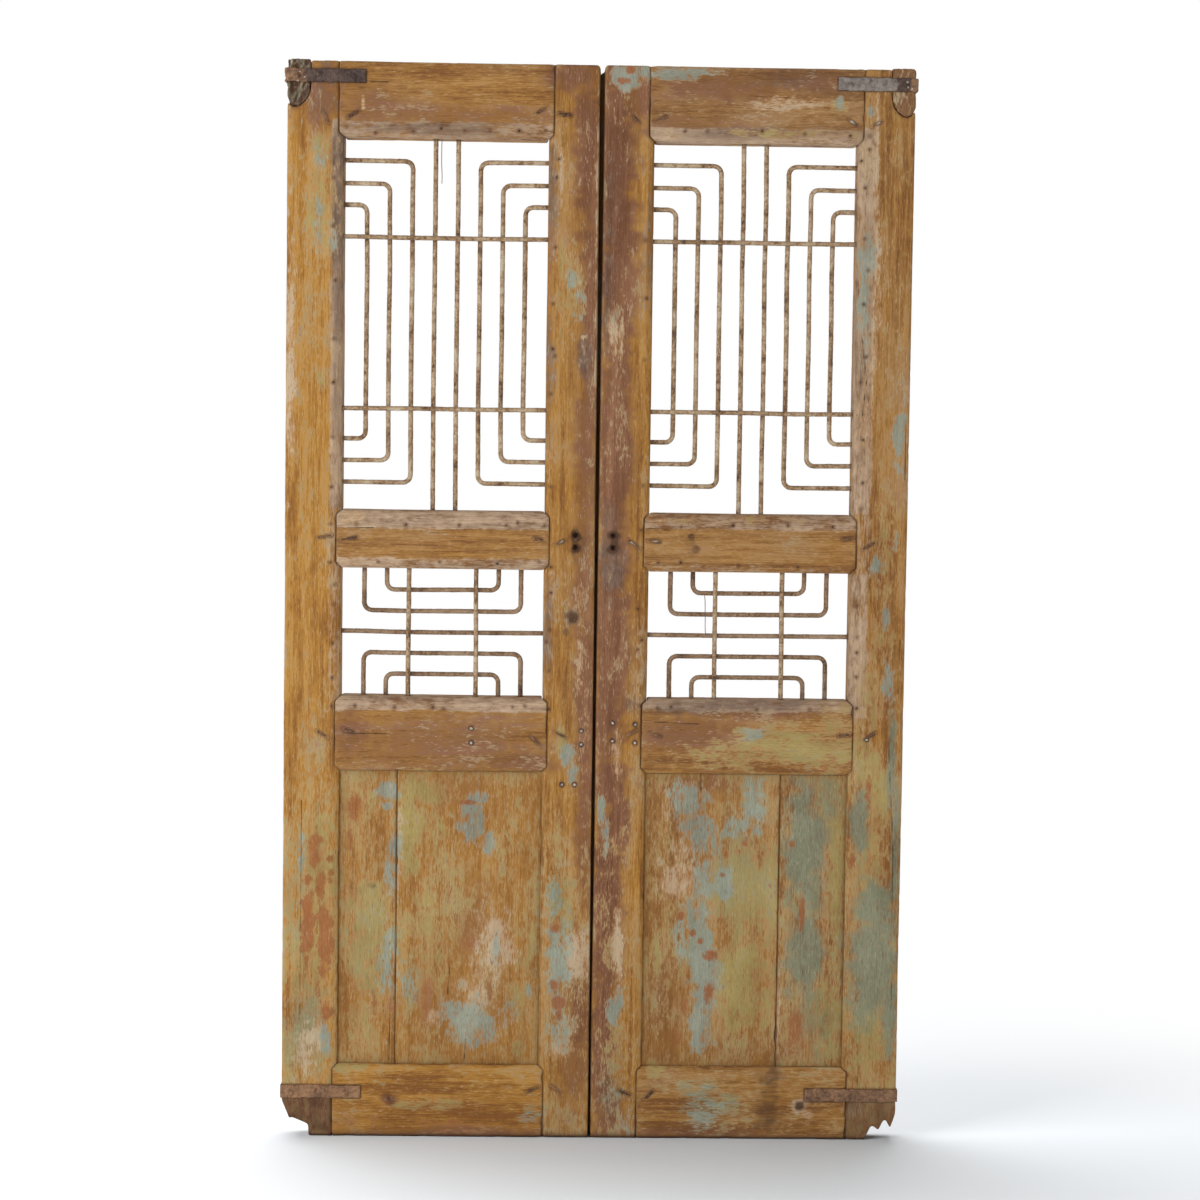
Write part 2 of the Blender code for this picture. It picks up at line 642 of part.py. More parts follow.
def build_graft(leaf):
    """The block let into the hung stile's head, bored for the upper pin."""
    edge = graft_edge(leaf.side)
    head = edge[-1][1]
    graft = add_piece(leaf, "pivot_graft", [prism(edge + [(0.0, head)], "uz", FRONT, BACK)], "graft_wood")
    bore = prism(
        circle((PIVOT_INSET, 0.0), bore_radius(PIN_DIAMETER, PIN_SIDES), PIN_SIDES),
        "uy", head + PIN_PROUD - PIN_LENGTH - CLEARANCE, head + OVERCUT,
    )
    nails = holes_between(nail_holes(), min(z for u, z in edge), head)
    cut(graft, leaf, [bore], holes_within(nails, 0.0, OUTER_STILE_WIDTH))


def dome_nail(place, way):
    """A strap nail: its domed head bears on the strap; way is +1 where the shank runs towards +Y."""
    seat = BACK + CLEARANCE + STRAP_THICKNESS - NAIL_SUNK
    profile = [
        (-NAIL_DOME - NAIL_SUNK, NAIL_CROWN / 2),
        (-NAIL_SHOULDER_RISE, NAIL_SHOULDER / 2),
        (0.0, NAIL_HEAD / 2),
        (0.0, NAIL_SHANK / 2),
        (NAIL_LENGTH + STRAP_THICKNESS, NAIL_TIP / 2),
    ]
    path = [Vector((place[0], way * (depth - seat), place[1])) for depth, radius in profile]
    return tube(path, [radius for depth, radius in profile], (0, 0, 1), NAIL_SIDES)


def build_straps(leaf):
    """Iron straps bent round the hung edge, with the nails that hold their two arms."""
    inside = BACK + CLEARANCE
    outside = inside + STRAP_THICKNESS
    straps = {
        "top_strap": (LEAF_HEIGHT - TOP_STRAP_DROP, TOP_STRAP_REACH[leaf.side]),
        "foot_strap": (FOOT_STRAP_RISE, FOOT_STRAP_REACH[leaf.side]),
    }
    for name, (middle, reach) in straps.items():
        bend = [
            (reach, -inside), (reach, -outside), (-CLEARANCE - STRAP_THICKNESS, -outside),
            (-CLEARANCE - STRAP_THICKNESS, outside), (reach, outside), (reach, inside),
            (-CLEARANCE, inside), (-CLEARANCE, -inside),
        ]
        low = middle - STRAP_WIDTH / 2
        high = middle + STRAP_WIDTH / 2
        strap = add_piece(leaf, name, [prism(bend, "uy", low, high)], "strap_iron")
        places = [place for place in strap_nail_places() if low < place[1] < high]
        join(strap, leaf, [dome_nail(place, way) for place in places for way in (1, -1)])


def build_rods(leaf):
    """The rods of both grilles."""
    for name, path in (*upper_rods().items(), *lower_rods().items()):
        bent = rounded(path, ROD_BEND_RADIUS, BEND_STEPS)
        rod = tube(bent, [ROD_RADIUS] * len(bent), (0, 1, 0), ROD_SIDES)
        smooth(add_piece(leaf, name, [rod], "rod_iron"))


def build_pins(leaf):
    """The two pins that a leaf turns on, which stay still."""
    head = LEAF_HEIGHT + GRAFT_PROUD + PIN_PROUD
    spans = {"upper": (head - PIN_LENGTH, head), "lower": (LOWER_PIN_END, LOWER_PIN_END + PIN_LENGTH)}
    for end, (low, high) in spans.items():
        name = "%s_%s_pivot_pin" % (leaf.side, end)
        ring = circle((PIVOT_INSET, 0.0), PIN_RADIUS, PIN_SIDES)
        pin = bpy.data.objects.new(name, solid_mesh(name, [prism(ring, "uy", low, high)], leaf))
        pin.location = (leaf.axis_x, 0.0, 0.0)
        pin.data.materials.append(finish_material("strap_iron"))
        bpy.context.scene.collection.objects.link(pin)
        smooth(pin)


def main():
    """Build both leaves and their pins."""
    for thing in list(bpy.data.objects):
        bpy.data.objects.remove(thing)
    drilled = rod_holes()
    for leaf in (Leaf("left", 1), Leaf("right", -1)):
        build_outer_stile(leaf, drilled)
        build_meeting_stile(leaf, drilled)
        for name in RAILS:
            build_rail(leaf, name, drilled)
        build_planks(leaf)
        build_graft(leaf)
        build_straps(leaf)
        build_rods(leaf)
        build_pins(leaf)


main()
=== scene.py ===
"""Worn looks for a pair of jali doors: old paint, grain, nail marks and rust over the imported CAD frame."""

import math

import bpy
import numpy as np
from mathutils import Matrix, Vector
from mathutils.bvhtree import BVHTree


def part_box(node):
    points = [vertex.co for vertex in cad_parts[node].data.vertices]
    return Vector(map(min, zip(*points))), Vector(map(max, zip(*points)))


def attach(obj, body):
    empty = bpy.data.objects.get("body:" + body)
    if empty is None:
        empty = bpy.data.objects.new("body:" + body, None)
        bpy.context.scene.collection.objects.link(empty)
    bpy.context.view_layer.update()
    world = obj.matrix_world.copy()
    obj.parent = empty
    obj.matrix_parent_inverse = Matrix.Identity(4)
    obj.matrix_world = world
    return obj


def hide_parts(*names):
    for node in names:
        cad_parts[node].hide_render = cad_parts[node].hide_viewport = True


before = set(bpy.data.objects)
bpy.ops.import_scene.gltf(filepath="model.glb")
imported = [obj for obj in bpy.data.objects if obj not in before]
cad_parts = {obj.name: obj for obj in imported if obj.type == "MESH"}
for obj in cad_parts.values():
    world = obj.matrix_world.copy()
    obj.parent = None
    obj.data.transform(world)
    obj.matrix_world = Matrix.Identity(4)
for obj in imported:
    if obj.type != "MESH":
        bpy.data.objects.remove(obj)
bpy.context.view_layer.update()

bl_info = {
    "name": "Jali doors",
    "version": (1, 0, 0),
    "blender": (4, 5, 0),
    "location": "View3D > Sidebar > Jali doors",
    "description": "Dresses a pair of old jali doors: worn paint, stained wood, forged rods, rusted straps",
    "category": "Object",
}

SIDES = ("left", "right")
STILES = ("outer_stile", "meeting_stile")
RAILS = ("top_rail", "lock_rail", "panel_rail", "bottom_rail")
PLANKS = ("narrow_plank", "wide_plank")
GRAFT = "pivot_graft"
UPPER_RODS = ("upper_outer_straight_rod", "upper_inner_straight_rod") + tuple(
    f"upper_{place}_bent_rod_{number}" for place in ("outer", "inner") for number in (1, 2, 3)
)
UPPER_BARS = ("upper_top_bar", "upper_low_bar")
LOWER_RODS = ("lower_outer_straight_rod", "lower_inner_straight_rod")
LOWER_BARS = (
    "lower_bar", "lower_hung_wide_loop", "lower_hung_narrow_loop",
    "lower_standing_wide_loop", "lower_standing_narrow_loop",
)
PINS = ("upper_pivot_pin", "lower_pivot_pin")
LEVEL, UPRIGHT = 0, 2  # the axis that a board's grain runs along

MM = 0.001
OUTWARD = {"left": -1, "right": 1}  # the way from the middle of the doors to a leaf's hung edge
HUNG_EDGE = {side: abs(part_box(f"{side}_outer_stile")[0 if side == "left" else 1].x) for side in SIDES}
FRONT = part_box("left_outer_stile")[0].y
OPENING = (0.0974, 0.447)  # from a leaf's hung edge to the near and far side of its openings
LEAF_WIDTH = 0.5344  # from its hung edge to its meeting edge in front
LIP_FROM = 0.52  # from a leaf's hung edge to the part of its meeting stile that faces the other leaf
FAR = 30 * MM  # distances to marks and lines are measured up to here

# How far each strap is gone to brown rust, how dark it is, and how much grey scale it keeps.
STRAP_LOOKS = {
    "left_top_strap": (0.15, 0.72, 0.0),
    "right_top_strap": (0.05, 0.0, 0.75),
    "left_foot_strap": (1.0, 0.0, 0.1),
    "right_foot_strap": (0.75, 0.1, 0.0),
}
STRAP_DENTS = ((56, 1834), (113, 1834), (100, 1832))  # on the right top strap: in from the hung edge, up (mm)

# How brown the old stain is on each board: 0 is golden, 1 is dark brown.
TONES = {
    "left_outer_stile": -0.15, "left_meeting_stile": 0.3, "left_top_rail": 0.55, "left_lock_rail": 0.6,
    "left_panel_rail": 0.5, "left_bottom_rail": -0.75, "left_narrow_plank": 0.15, "left_wide_plank": 0.0,
    "left_pivot_graft": 1.0, "right_outer_stile": 0.5, "right_meeting_stile": 0.25, "right_top_rail": 0.8,
    "right_lock_rail": 0.6, "right_panel_rail": 0.6, "right_bottom_rail": 0.5, "right_narrow_plank": 0.6,
    "right_wide_plank": 0.45, "right_pivot_graft": 0.45,
}

# Olive wash left on each kind of board: all over, and more below waist height.
WASH = {
    "outer_stile": (0.12, 0.28), "meeting_stile": (0.06, 0.16), "narrow_plank": (0.38, 0.0),
    "wide_plank": (0.33, 0.0), "bottom_rail": (0.2, 0.0), "panel_rail": (0.03, 0.0),
    "lock_rail": (0.04, 0.0), "top_rail": (0.05, 0.0),
}

# How rough each graft is weathered (mm), and the coats all over it: how much, and how much more on the raised
# scales.
GRAFTS = {
    "left": (1.5, {"smoke": (1.1, 0.0), "haze": (0.5, 0.4), "pale": (0.3, 0.4), "dark": (0.55, -0.6)}),
    "right": (0.5, {"red": (0.3, 0.0), "olive": (0.3, 0.3), "pale": (0.35, 0.15), "dark": (0.1, -0.4)}),
}

# How much the broken foot of each outer stile keeps of the old brown coat, and how much darker it is made
# below the foot strap.
FEET = {"left": (0.9, 0.74), "right": (0.25, 0.68)}

# Bare bands where a lost wire screen was tacked over the openings, in mm from the opening's edge.
BANDS = {
    "left": {"outer": 22, "meeting": 20, "top": 29, "lock_up": 33, "lock_low": 20, "panel": 26},
    "right": {"outer": 33, "meeting": 21, "top": 25, "lock_up": 29, "lock_low": 14, "panel": 22},
}

# How much shows of the bands on the stiles: beside the upper grille, beside the lower one, at the lock rail.
KEPT_BANDS = {
    "left_outer_stile": (1.0, 0.6, 0.6), "left_meeting_stile": (0.35, 0.5, 0.1),
    "right_meeting_stile": (0.3, 0.4, 0.1), "right_outer_stile": (1.0, 0.9, 0.7),
}

# How bare the bands on each rail are, above and below its middle.
RAIL_BANDS = {
    "left_top_rail": (0.75, 0.75), "left_lock_rail": (1.05, 0.8), "left_panel_rail": (0.95, 0.95),
    "right_top_rail": (0.9, 0.9), "right_lock_rail": (0.8, 0.45), "right_panel_rail": (0.8, 0.8),
}

# Paint remains on the front: in from the hung edge, up, half width, half height (mm), and how
# much is left.
REMAINS = {
    ("blue", "left"): (
        (177, 607, 19, 12, 1), (181, 579, 10, 6, 0.8), (190, 476, 12, 49, 0.75), (195, 505, 7, 24, 0.95),
        (330, 555, 23, 30, 1), (339, 595, 19, 10, 0.95), (355, 520, 9, 24, 0.85), (491, 672, 10, 17, 0.95),
        (500, 639, 10, 17, 0.8), (79, 173, 10, 26, 0.9), (57, 1687, 9, 16, 0.65), (55, 1611, 7, 21, 0.6),
        (54, 1563, 5, 28, 0.55), (313, 207, 31, 38, 0.75), (351, 188, 24, 30, 0.85),
        (224, 268, 16, 35, 0.6), (184, 303, 16, 56, 0.65), (395, 215, 17, 24, 0.55),
        (431, 256, 7, 16, 0.6), (373, 326, 7, 21, 0.6), (478, 420, 19, 45, 0.5), (479, 318, 16, 76, 0.75),
        (485, 191, 21, 45, 0.5), (436, 35, 17, 16, 0.55), (33, 494, 5, 43, 0.5), (488, 1497, 10, 17, 0.6),
        (502, 1464, 7, 12, 0.55), (499, 1430, 7, 10, 0.55), (80, 1564, 5, 24, 0.5),
    ),
    ("blue", "right"): (
        (500, 1836, 19, 16, 1), (469, 1849, 12, 10, 0.95), (420, 1848, 35, 10, 1), (380, 1850, 28, 7, 0.9),
        (351, 1849, 24, 4, 0.6), (524, 575, 7, 21, 1), (517, 540, 6, 17, 0.9), (515, 522, 5, 24, 0.5),
        (497, 234, 12, 28, 0.75), (493, 89, 22, 31, 0.35), (469, 33, 12, 28, 0.35), (366, 587, 24, 28, 1),
        (356, 548, 26, 31, 0.95), (388, 588, 14, 31, 0.75), (256, 593, 16, 31, 0.8),
        (292, 546, 52, 17, 0.55), (329, 514, 21, 31, 0.6), (344, 457, 19, 42, 0.7),
        (306, 451, 10, 35, 0.85), (350, 369, 28, 52, 0.75), (341, 289, 21, 78, 0.9),
        (346, 193, 19, 38, 0.85), (379, 360, 14, 42, 0.6), (53, 1009, 11, 23, 0.9), (35, 924, 8, 21, 0.85),
        (21, 1037, 7, 19, 0.6), (27, 802, 12, 36, 0.75), (17, 1239, 10, 47, 0.75),
        (83, 1504, 12, 101, 0.75), (78, 1398, 9, 35, 0.5), (76, 1792, 5, 10, 0.8), (131, 1800, 5, 10, 0.7),
        (347, 57, 35, 30, 0.6), (255, 716, 17, 10, 0.6), (509, 1438, 7, 16, 0.6),
    ),
    ("haze", "left"): (
        (44, 187, 38, 66, 0.6), (30, 420, 22, 120, 0.35), (150, 330, 40, 110, 0.3),
        (484, 330, 20, 90, 0.4),
    ),
    ("haze", "right"): (
        (165, 512, 31, 104, 0.95), (169, 599, 17, 31, 0.8), (129, 600, 21, 35, 0.65),
        (163, 336, 31, 87, 0.9), (150, 210, 34, 60, 0.55), (74, 557, 16, 49, 0.95), (20, 676, 7, 73, 0.95),
        (10, 513, 7, 104, 0.9), (44, 415, 35, 43, 0.9), (46, 319, 38, 95, 1), (15, 231, 14, 70, 0.9),
        (65, 231, 17, 52, 0.7), (496, 95, 22, 50, 0.4), (344, 60, 60, 34, 0.5), (290, 470, 60, 110, 0.35),
    ),
    ("smoke", "left"): (
        (515, 1360, 12, 40, 0.8), (86, 1700, 10, 45, 1), (86, 1620, 9, 50, 0.95), (87, 1540, 8, 45, 0.9),
        (88, 1440, 8, 60, 0.7), (87, 1300, 8, 70, 0.55), (455, 1640, 8, 70, 0.7), (455, 1330, 8, 90, 0.6),
        (454, 880, 8, 70, 0.7), (60, 1852, 14, 7, 0.6), (62, 1790, 22, 34, 0.5), (499, 912, 11, 12, 0.9),
        (250, 1745, 120, 12, 0.6),
    ),
    ("smoke", "right"): (
        (525, 1477, 12, 110, 0.6), (522, 1640, 14, 60, 0.5), (513, 1000, 20, 45, 0.85),
        (516, 1090, 14, 30, 0.6), (88, 1380, 9, 60, 0.5), (500, 60, 24, 26, 0.5), (455, 1560, 8, 90, 0.5),
        (240, 1838, 60, 14, 0.5), (300, 764, 150, 9, 0.7), (400, 755, 40, 9, 0.7),
        (240, 1749, 150, 9, 0.75), (330, 1742, 60, 8, 0.6),
    ),
    ("olive", "left"): (
        (64, 468, 35, 104, 0.75), (49, 310, 38, 104, 0.7), (44, 161, 38, 70, 0.7), (58, 1631, 21, 87, 0.6),
        (66, 1000, 7, 9, 0.6), (66, 1316, 10, 19, 0.6), (239, 610, 33, 26, 0.9), (268, 593, 31, 17, 0.7),
        (219, 514, 16, 70, 0.85), (256, 540, 35, 43, 0.5), (156, 591, 14, 24, 0.6),
        (148, 417, 49, 35, 0.7), (153, 329, 49, 96, 0.75), (144, 206, 43, 52, 0.55),
        (240, 374, 31, 52, 0.6), (275, 312, 35, 52, 0.5), (226, 268, 17, 70, 0.7),
        (414, 243, 28, 70, 0.55), (434, 314, 10, 70, 0.6), (414, 155, 14, 14, 0.8),
        (485, 420, 24, 45, 0.8), (477, 525, 7, 70, 0.5), (482, 332, 21, 70, 0.7), (484, 191, 24, 52, 0.6),
        (482, 691, 7, 24, 0.8), (108, 124, 43, 9, 0.6), (275, 57, 87, 9, 0.6), (436, 46, 24, 24, 0.5),
        (490, 1476, 17, 52, 0.5), (470, 1450, 5, 31, 0.6), (471, 1524, 3, 31, 0.8),
        (470, 1404, 3, 16, 0.8),
    ),
    ("olive", "right"): (
        (182, 690, 96, 35, 0.75), (277, 674, 122, 21, 0.55), (121, 714, 26, 43, 0.6),
        (283, 440, 70, 96, 0.8), (274, 273, 49, 87, 0.85), (228, 423, 17, 104, 0.6),
        (256, 599, 24, 43, 0.6), (129, 600, 24, 52, 0.8), (113, 460, 16, 139, 0.8),
        (130, 222, 31, 70, 0.85), (165, 424, 35, 139, 0.6), (116, 160, 26, 24, 0.7),
        (424, 323, 10, 30, 0.7), (393, 369, 24, 61, 0.5), (349, 352, 43, 104, 0.6),
        (41, 618, 21, 87, 0.65), (63, 671, 21, 70, 0.6), (54, 460, 31, 104, 0.7), (49, 187, 33, 56, 0.9),
        (49, 776, 24, 70, 0.6), (43, 1019, 24, 70, 0.6), (39, 880, 21, 70, 0.55), (461, 300, 12, 17, 0.6),
        (487, 139, 24, 87, 0.5), (425, 122, 17, 14, 0.6), (344, 69, 61, 31, 0.6), (259, 1086, 52, 9, 0.5),
        (379, 1084, 43, 9, 0.5), (134, 1793, 14, 10, 0.5), (199, 1748, 87, 7, 0.6),
    ),
    ("primer", "left"): (
        (55, 503, 11, 30, 0.95), (66, 444, 7, 31, 0.9), (43, 452, 9, 9, 0.8), (45, 401, 10, 24, 0.9),
        (72, 391, 9, 14, 0.9), (83, 489, 5, 6, 0.8), (83, 463, 5, 5, 0.8), (81, 449, 6, 5, 0.8),
        (44, 361, 10, 54, 0.95), (75, 342, 10, 63, 0.95), (78, 223, 9, 21, 0.9), (63, 266, 7, 24, 0.5),
        (124, 579, 10, 17, 0.95), (114, 518, 6, 19, 0.7), (122, 434, 9, 16, 0.6), (321, 341, 16, 35, 0.5),
        (249, 242, 21, 38, 0.5), (191, 215, 7, 43, 0.5), (162, 227, 9, 24, 0.5), (313, 588, 28, 4, 0.75),
        (285, 602, 5, 21, 0.5), (476, 270, 7, 9, 0.8), (481, 240, 10, 10, 0.85), (483, 217, 5, 10, 0.7),
        (250, 28, 130, 16, 0.42), (477, 372, 9, 9, 0.9),
    ),
    ("primer", "right"): (
        (328, 324, 10, 8, 0.95), (332, 259, 9, 16, 0.95), (382, 392, 7, 6, 0.95), (363, 362, 6, 5, 0.85),
        (347, 348, 4, 5, 0.85), (305, 502, 5, 9, 0.95), (331, 496, 4, 4, 0.8), (282, 507, 4, 4, 0.8),
        (268, 523, 9, 12, 0.5), (309, 465, 4, 4, 0.8), (375, 246, 10, 31, 0.5), (387, 175, 17, 24, 0.6),
        (171, 392, 5, 38, 0.9), (86, 495, 6, 16, 0.6), (87, 390, 5, 17, 0.6), (190, 520, 5, 5, 0.8),
        (177, 195, 17, 38, 0.6), (164, 168, 14, 21, 0.5), (127, 328, 5, 5, 0.5), (124, 213, 5, 10, 0.5),
        (490, 1852, 7, 5, 0.9), (502, 1833, 10, 5, 0.85), (58, 609, 5, 24, 0.5), (42, 562, 10, 16, 0.5),
        (63, 915, 9, 52, 0.5),
    ),
    ("red", "left"): (
        (189, 67, 12, 11, 1), (518, 1715, 21, 191, 0.8), (524, 1460, 16, 261, 0.65),
        (522, 1359, 16, 43, 0.95), (515, 1202, 17, 139, 0.6), (514, 1013, 14, 156, 0.55),
        (521, 770, 16, 139, 0.7), (523, 560, 14, 139, 0.6), (518, 244, 16, 104, 0.75),
        (510, 138, 24, 87, 0.5), (270, 1770, 165, 17, 0.4), (141, 1785, 43, 35, 0.45),
        (273, 689, 174, 52, 0.4), (118, 704, 31, 43, 0.55), (410, 660, 52, 17, 0.6),
        (299, 610, 52, 35, 0.4), (326, 366, 38, 70, 0.45), (275, 216, 52, 70, 0.4),
        (370, 243, 35, 70, 0.35), (292, 10, 165, 10, 0.5), (108, 38, 26, 35, 0.3), (55, 1810, 38, 60, 0.6),
        (490, 1842, 46, 26, 0.7), (448, 1527, 9, 156, 0.35),
    ),
    ("red", "right"): (
        (513, 1631, 28, 261, 0.95), (520, 1487, 14, 45, 1), (508, 1203, 24, 226, 0.9),
        (511, 875, 26, 226, 0.9), (507, 629, 21, 38, 1), (494, 558, 16, 38, 1), (512, 421, 21, 156, 1),
        (514, 174, 17, 139, 0.95), (500, 50, 24, 43, 0.7), (337, 1829, 122, 24, 0.5),
        (200, 1840, 87, 21, 0.55), (388, 1760, 70, 21, 0.35), (373, 711, 78, 35, 0.5),
        (279, 759, 165, 17, 0.6), (369, 492, 35, 43, 0.4), (409, 228, 28, 87, 0.45),
        (266, 158, 70, 31, 0.35), (354, 624, 78, 17, 0.5), (197, 617, 21, 17, 0.4),
        (343, 16, 104, 10, 0.7), (474, 1810, 24, 35, 0.6),
    ),
    ("pale", "left"): (
        (533, 1745, 2.2, 22, 1), (533, 1680, 2, 14, 1), (534, 1596, 2, 16, 1), (534, 1500, 2, 18, 0.9),
        (534, 1425, 2, 40, 1), (533, 1340, 2, 30, 1), (63, 177, 8, 33, 0.9), (42, 145, 19, 47, 0.75),
        (508, 325, 21, 31, 0.85), (370, 348, 31, 63, 0.7), (340, 313, 28, 52, 0.5),
        (327, 242, 31, 35, 0.6), (264, 210, 10, 14, 0.8), (487, 182, 21, 38, 0.7), (481, 156, 14, 17, 0.8),
        (534, 315, 9, 52, 0.5), (200, 470, 7, 70, 0.6), (188, 452, 10, 43, 0.5), (533, 1630, 3, 156, 0.8),
        (537, 1254, 2, 104, 0.5), (469, 1680, 4, 38, 0.6), (129, 1790, 3, 10, 1), (510, 880, 5, 80, 0.36),
        (6, 1332, 8, 191, 0.7), (510, 1396, 3, 3, 1), (116, 1080, 21, 10, 0.5),
    ),
    ("pale", "right"): (
        (65, 1700, 2.5, 80, 1), (65, 1560, 2.5, 70, 1), (66, 1440, 2.2, 60, 0.9), (66, 1300, 2, 60, 0.7),
        (168, 60, 15, 14, 0.9), (386, 457, 31, 35, 0.75), (382, 510, 24, 35, 0.5), (414, 579, 14, 24, 0.6),
        (209, 230, 5, 70, 0.6), (492, 351, 7, 43, 0.85), (498, 683, 10, 43, 0.6), (489, 315, 5, 52, 0.5),
        (497, 1826, 9, 14, 0.5), (66, 1706, 4, 104, 0.8), (62, 1467, 7, 122, 0.5), (156, 44, 10, 14, 0.7),
        (77, 62, 28, 21, 0.5), (216, 1797, 52, 9, 0.6), (225, 1809, 24, 7, 0.6), (431, 1083, 21, 9, 0.7),
        (445, 1087, 10, 10, 0.8), (514, 1409, 7, 35, 0.6), (500, 1401, 4, 28, 0.7),
        (75, 1261, 14, 87, 0.5),
    ),
    ("dark", "left"): (
        (188, 66, 4, 5, 0.8), (500, 1041, 7, 24, 0.85), (502, 1054, 10, 10, 1), (502, 1033, 9, 9, 1),
        (504, 1043, 17, 24, 0.55), (500, 912, 10, 10, 0.9), (487, 887, 7, 7, 0.5), (192, 65, 12, 10, 0.55),
        (154, 441, 10, 7, 0.5), (27, 1805, 14, 21, 0.5),
    ),
    ("dark", "right"): (
        (221, 72, 24, 72, 0.62), (508, 1045, 7, 24, 0.85), (509, 1055, 10, 10, 1), (509, 1034, 10, 10, 1),
        (513, 1039, 19, 35, 0.5), (217, 44, 28, 40, 0.5), (374, 1056, 7, 7, 0.8), (366, 1034, 7, 7, 0.7),
        (375, 1041, 12, 24, 0.5), (168, 60, 9, 8, 0.85),
    ),
}

# Tack holes of the lost wire screens: in from the hung edge, up (mm).
TACKS = {
    "left": (
        (79, 1579), (84, 1487), (83, 1388), (82, 1313), (82, 1219), (80, 1662), (80, 1133), (79, 1069),
        (79, 1003), (87, 964), (85, 931), (84, 864), (84, 803), (83, 754), (151, 1739), (263, 1748),
        (346, 1746), (396, 1746), (441, 1748), (101, 1747), (215, 1742), (304, 1744), (124, 1070),
        (209, 1070), (301, 1070), (382, 1071), (401, 1075), (448, 1071), (161, 1005), (267, 1006),
        (367, 1004), (439, 1008), (460, 1549), (458, 1452), (458, 1375), (462, 1363), (456, 1298),
        (457, 1138), (459, 1000), (460, 955), (459, 891), (454, 870), (458, 819), (458, 753), (461, 1668),
        (465, 1699), (123, 755), (192, 753), (258, 754), (277, 751), (418, 758), (396, 756),
    ),
    "right": (
        (395, 1750), (357, 1750), (263, 1752), (112, 1746), (190, 1748), (84, 1571), (77, 1518),
        (83, 1459), (78, 1369), (86, 1324), (80, 1226), (78, 1747), (78, 1724), (92, 1704), (84, 1658),
        (79, 1152), (81, 1107), (84, 939), (84, 884), (84, 857), (84, 815), (82, 761), (392, 1072),
        (302, 1075), (207, 1076), (130, 1075), (431, 1009), (392, 1010), (292, 1006), (189, 1005),
        (460, 1563), (457, 1464), (459, 1358), (459, 1142), (462, 1066), (465, 929), (457, 875),
        (465, 858), (458, 760), (429, 757), (405, 760), (352, 760), (256, 756), (164, 758), (83, 761),
    ),
}

# Nails through the joints, bent over and beaten flat: head end and tip, each in from the hung edge, up (mm),
# and how far the crown is painted pale, as rubbed iron and a painted highlight.
CLINCHED = {
    "left": (
        (61, 1774, 72, 1754, 0.15), (121, 1775, 102, 1763, 0.15), (485, 1773, 462, 1777, 0.15),
        (425, 1776, 443, 1786, 0.15), (125, 1047, 96, 1042, 0.15), (56, 1045, 81, 1050, 0.15),
        (430, 1049, 447, 1046, 0.15), (483, 1046, 465, 1038, 0.7), (58, 711, 78, 699, 0.15),
        (122, 709, 103, 716, 0.15), (427, 706, 446, 689, 0.15), (489, 704, 469, 713, 0.15),
        (428, 81, 450, 90, 0.15), (487, 81, 471, 92, 0.15),
    ),
    "right": (
        (487, 1774, 470, 1761, 0.15), (426, 1775, 448, 1766, 0.15), (115, 1774, 96, 1760, 1),
        (58, 1772, 75, 1762, 0.9), (483, 1048, 463, 1033, 0.8), (429, 1046, 449, 1047, 0.8),
        (56, 1049, 78, 1037, 0.15), (112, 1053, 92, 1057, 0.15), (422, 707, 441, 714, 0.15),
        (481, 708, 462, 719, 0.15), (113, 712, 92, 715, 0.15), (49, 718, 67, 707, 0.15),
        (486, 85, 463, 75, 0.15), (426, 85, 443, 70, 0.15),
    ),
}

# Loose dome-headed nails: in from the hung edge, up (mm).
DOMES = {
    "left": ((325, 718), (325, 693), (516, 716), (516, 692), (483, 622), (505, 622)),
    "right": ((506, 730), (506, 699), (467, 728), (467, 696), (64, 706)),
}

# White specks of old lime on the top straps: in from the hung edge, up (mm).
LIME = {
    "left_top_strap": ((21, 1839), (18, 1823), (29, 1830)),
    "right_top_strap": ((17, 1847), (16, 1838), (15, 1829), (8, 1827)),
}

# Cracks along the grain: from and to, each in from the hung edge, up (mm).
CRACKS = {
    "left": (
        (32, 590, 31, 205), (188, 215, 186, 132), (291, 298, 288, 249), (320, 172, 318, 135),
        (134, 1826, 171, 1825), (108, 1063, 154, 1064), (101, 708, 178, 707),
    ),
    "right": (
        (26, 706, 19, 594), (19, 594, 14, 514), (14, 514, 12, 249), (7, 1268, 6, 1158), (9, 881, 11, 786),
        (76, 1328, 82, 1266), (85, 1401, 77, 1336), (351, 643, 350, 613), (451, 1069, 403, 1065),
        (434, 733, 356, 730),
    ),
}

# Last wires of the lost screens: in from the hung edge, front to back, up (mm), along each wire.
WIRES = (
    ("left", "top_screen_wire", (
        (264, -6, 1734), (263, -8, 1722), (264, -7, 1706), (262, -8, 1690), (265, -6, 1672), (264, -7, 1656),
    )),
    ("right", "low_screen_wire", (
        (350, -9, 958), (347, -10, 944), (349, -9, 928), (346, -9, 912), (348, -10, 898), (346, -9, 884),
    )),
)

# A bent-over nail of length 1: places along it, its width there, and how far it sinks in at some of them.
CLINCH_CUTS = (-0.5, -0.25, 0.0, 0.28, 0.5)
CLINCH_WIDTHS = (0.62, 1.0, 0.85, 0.6, 0.25)
CLINCH_BEND = ((-0.5, -0.25, 0.28, 0.5), (0.14, 0.0, 0.02, 0.12))

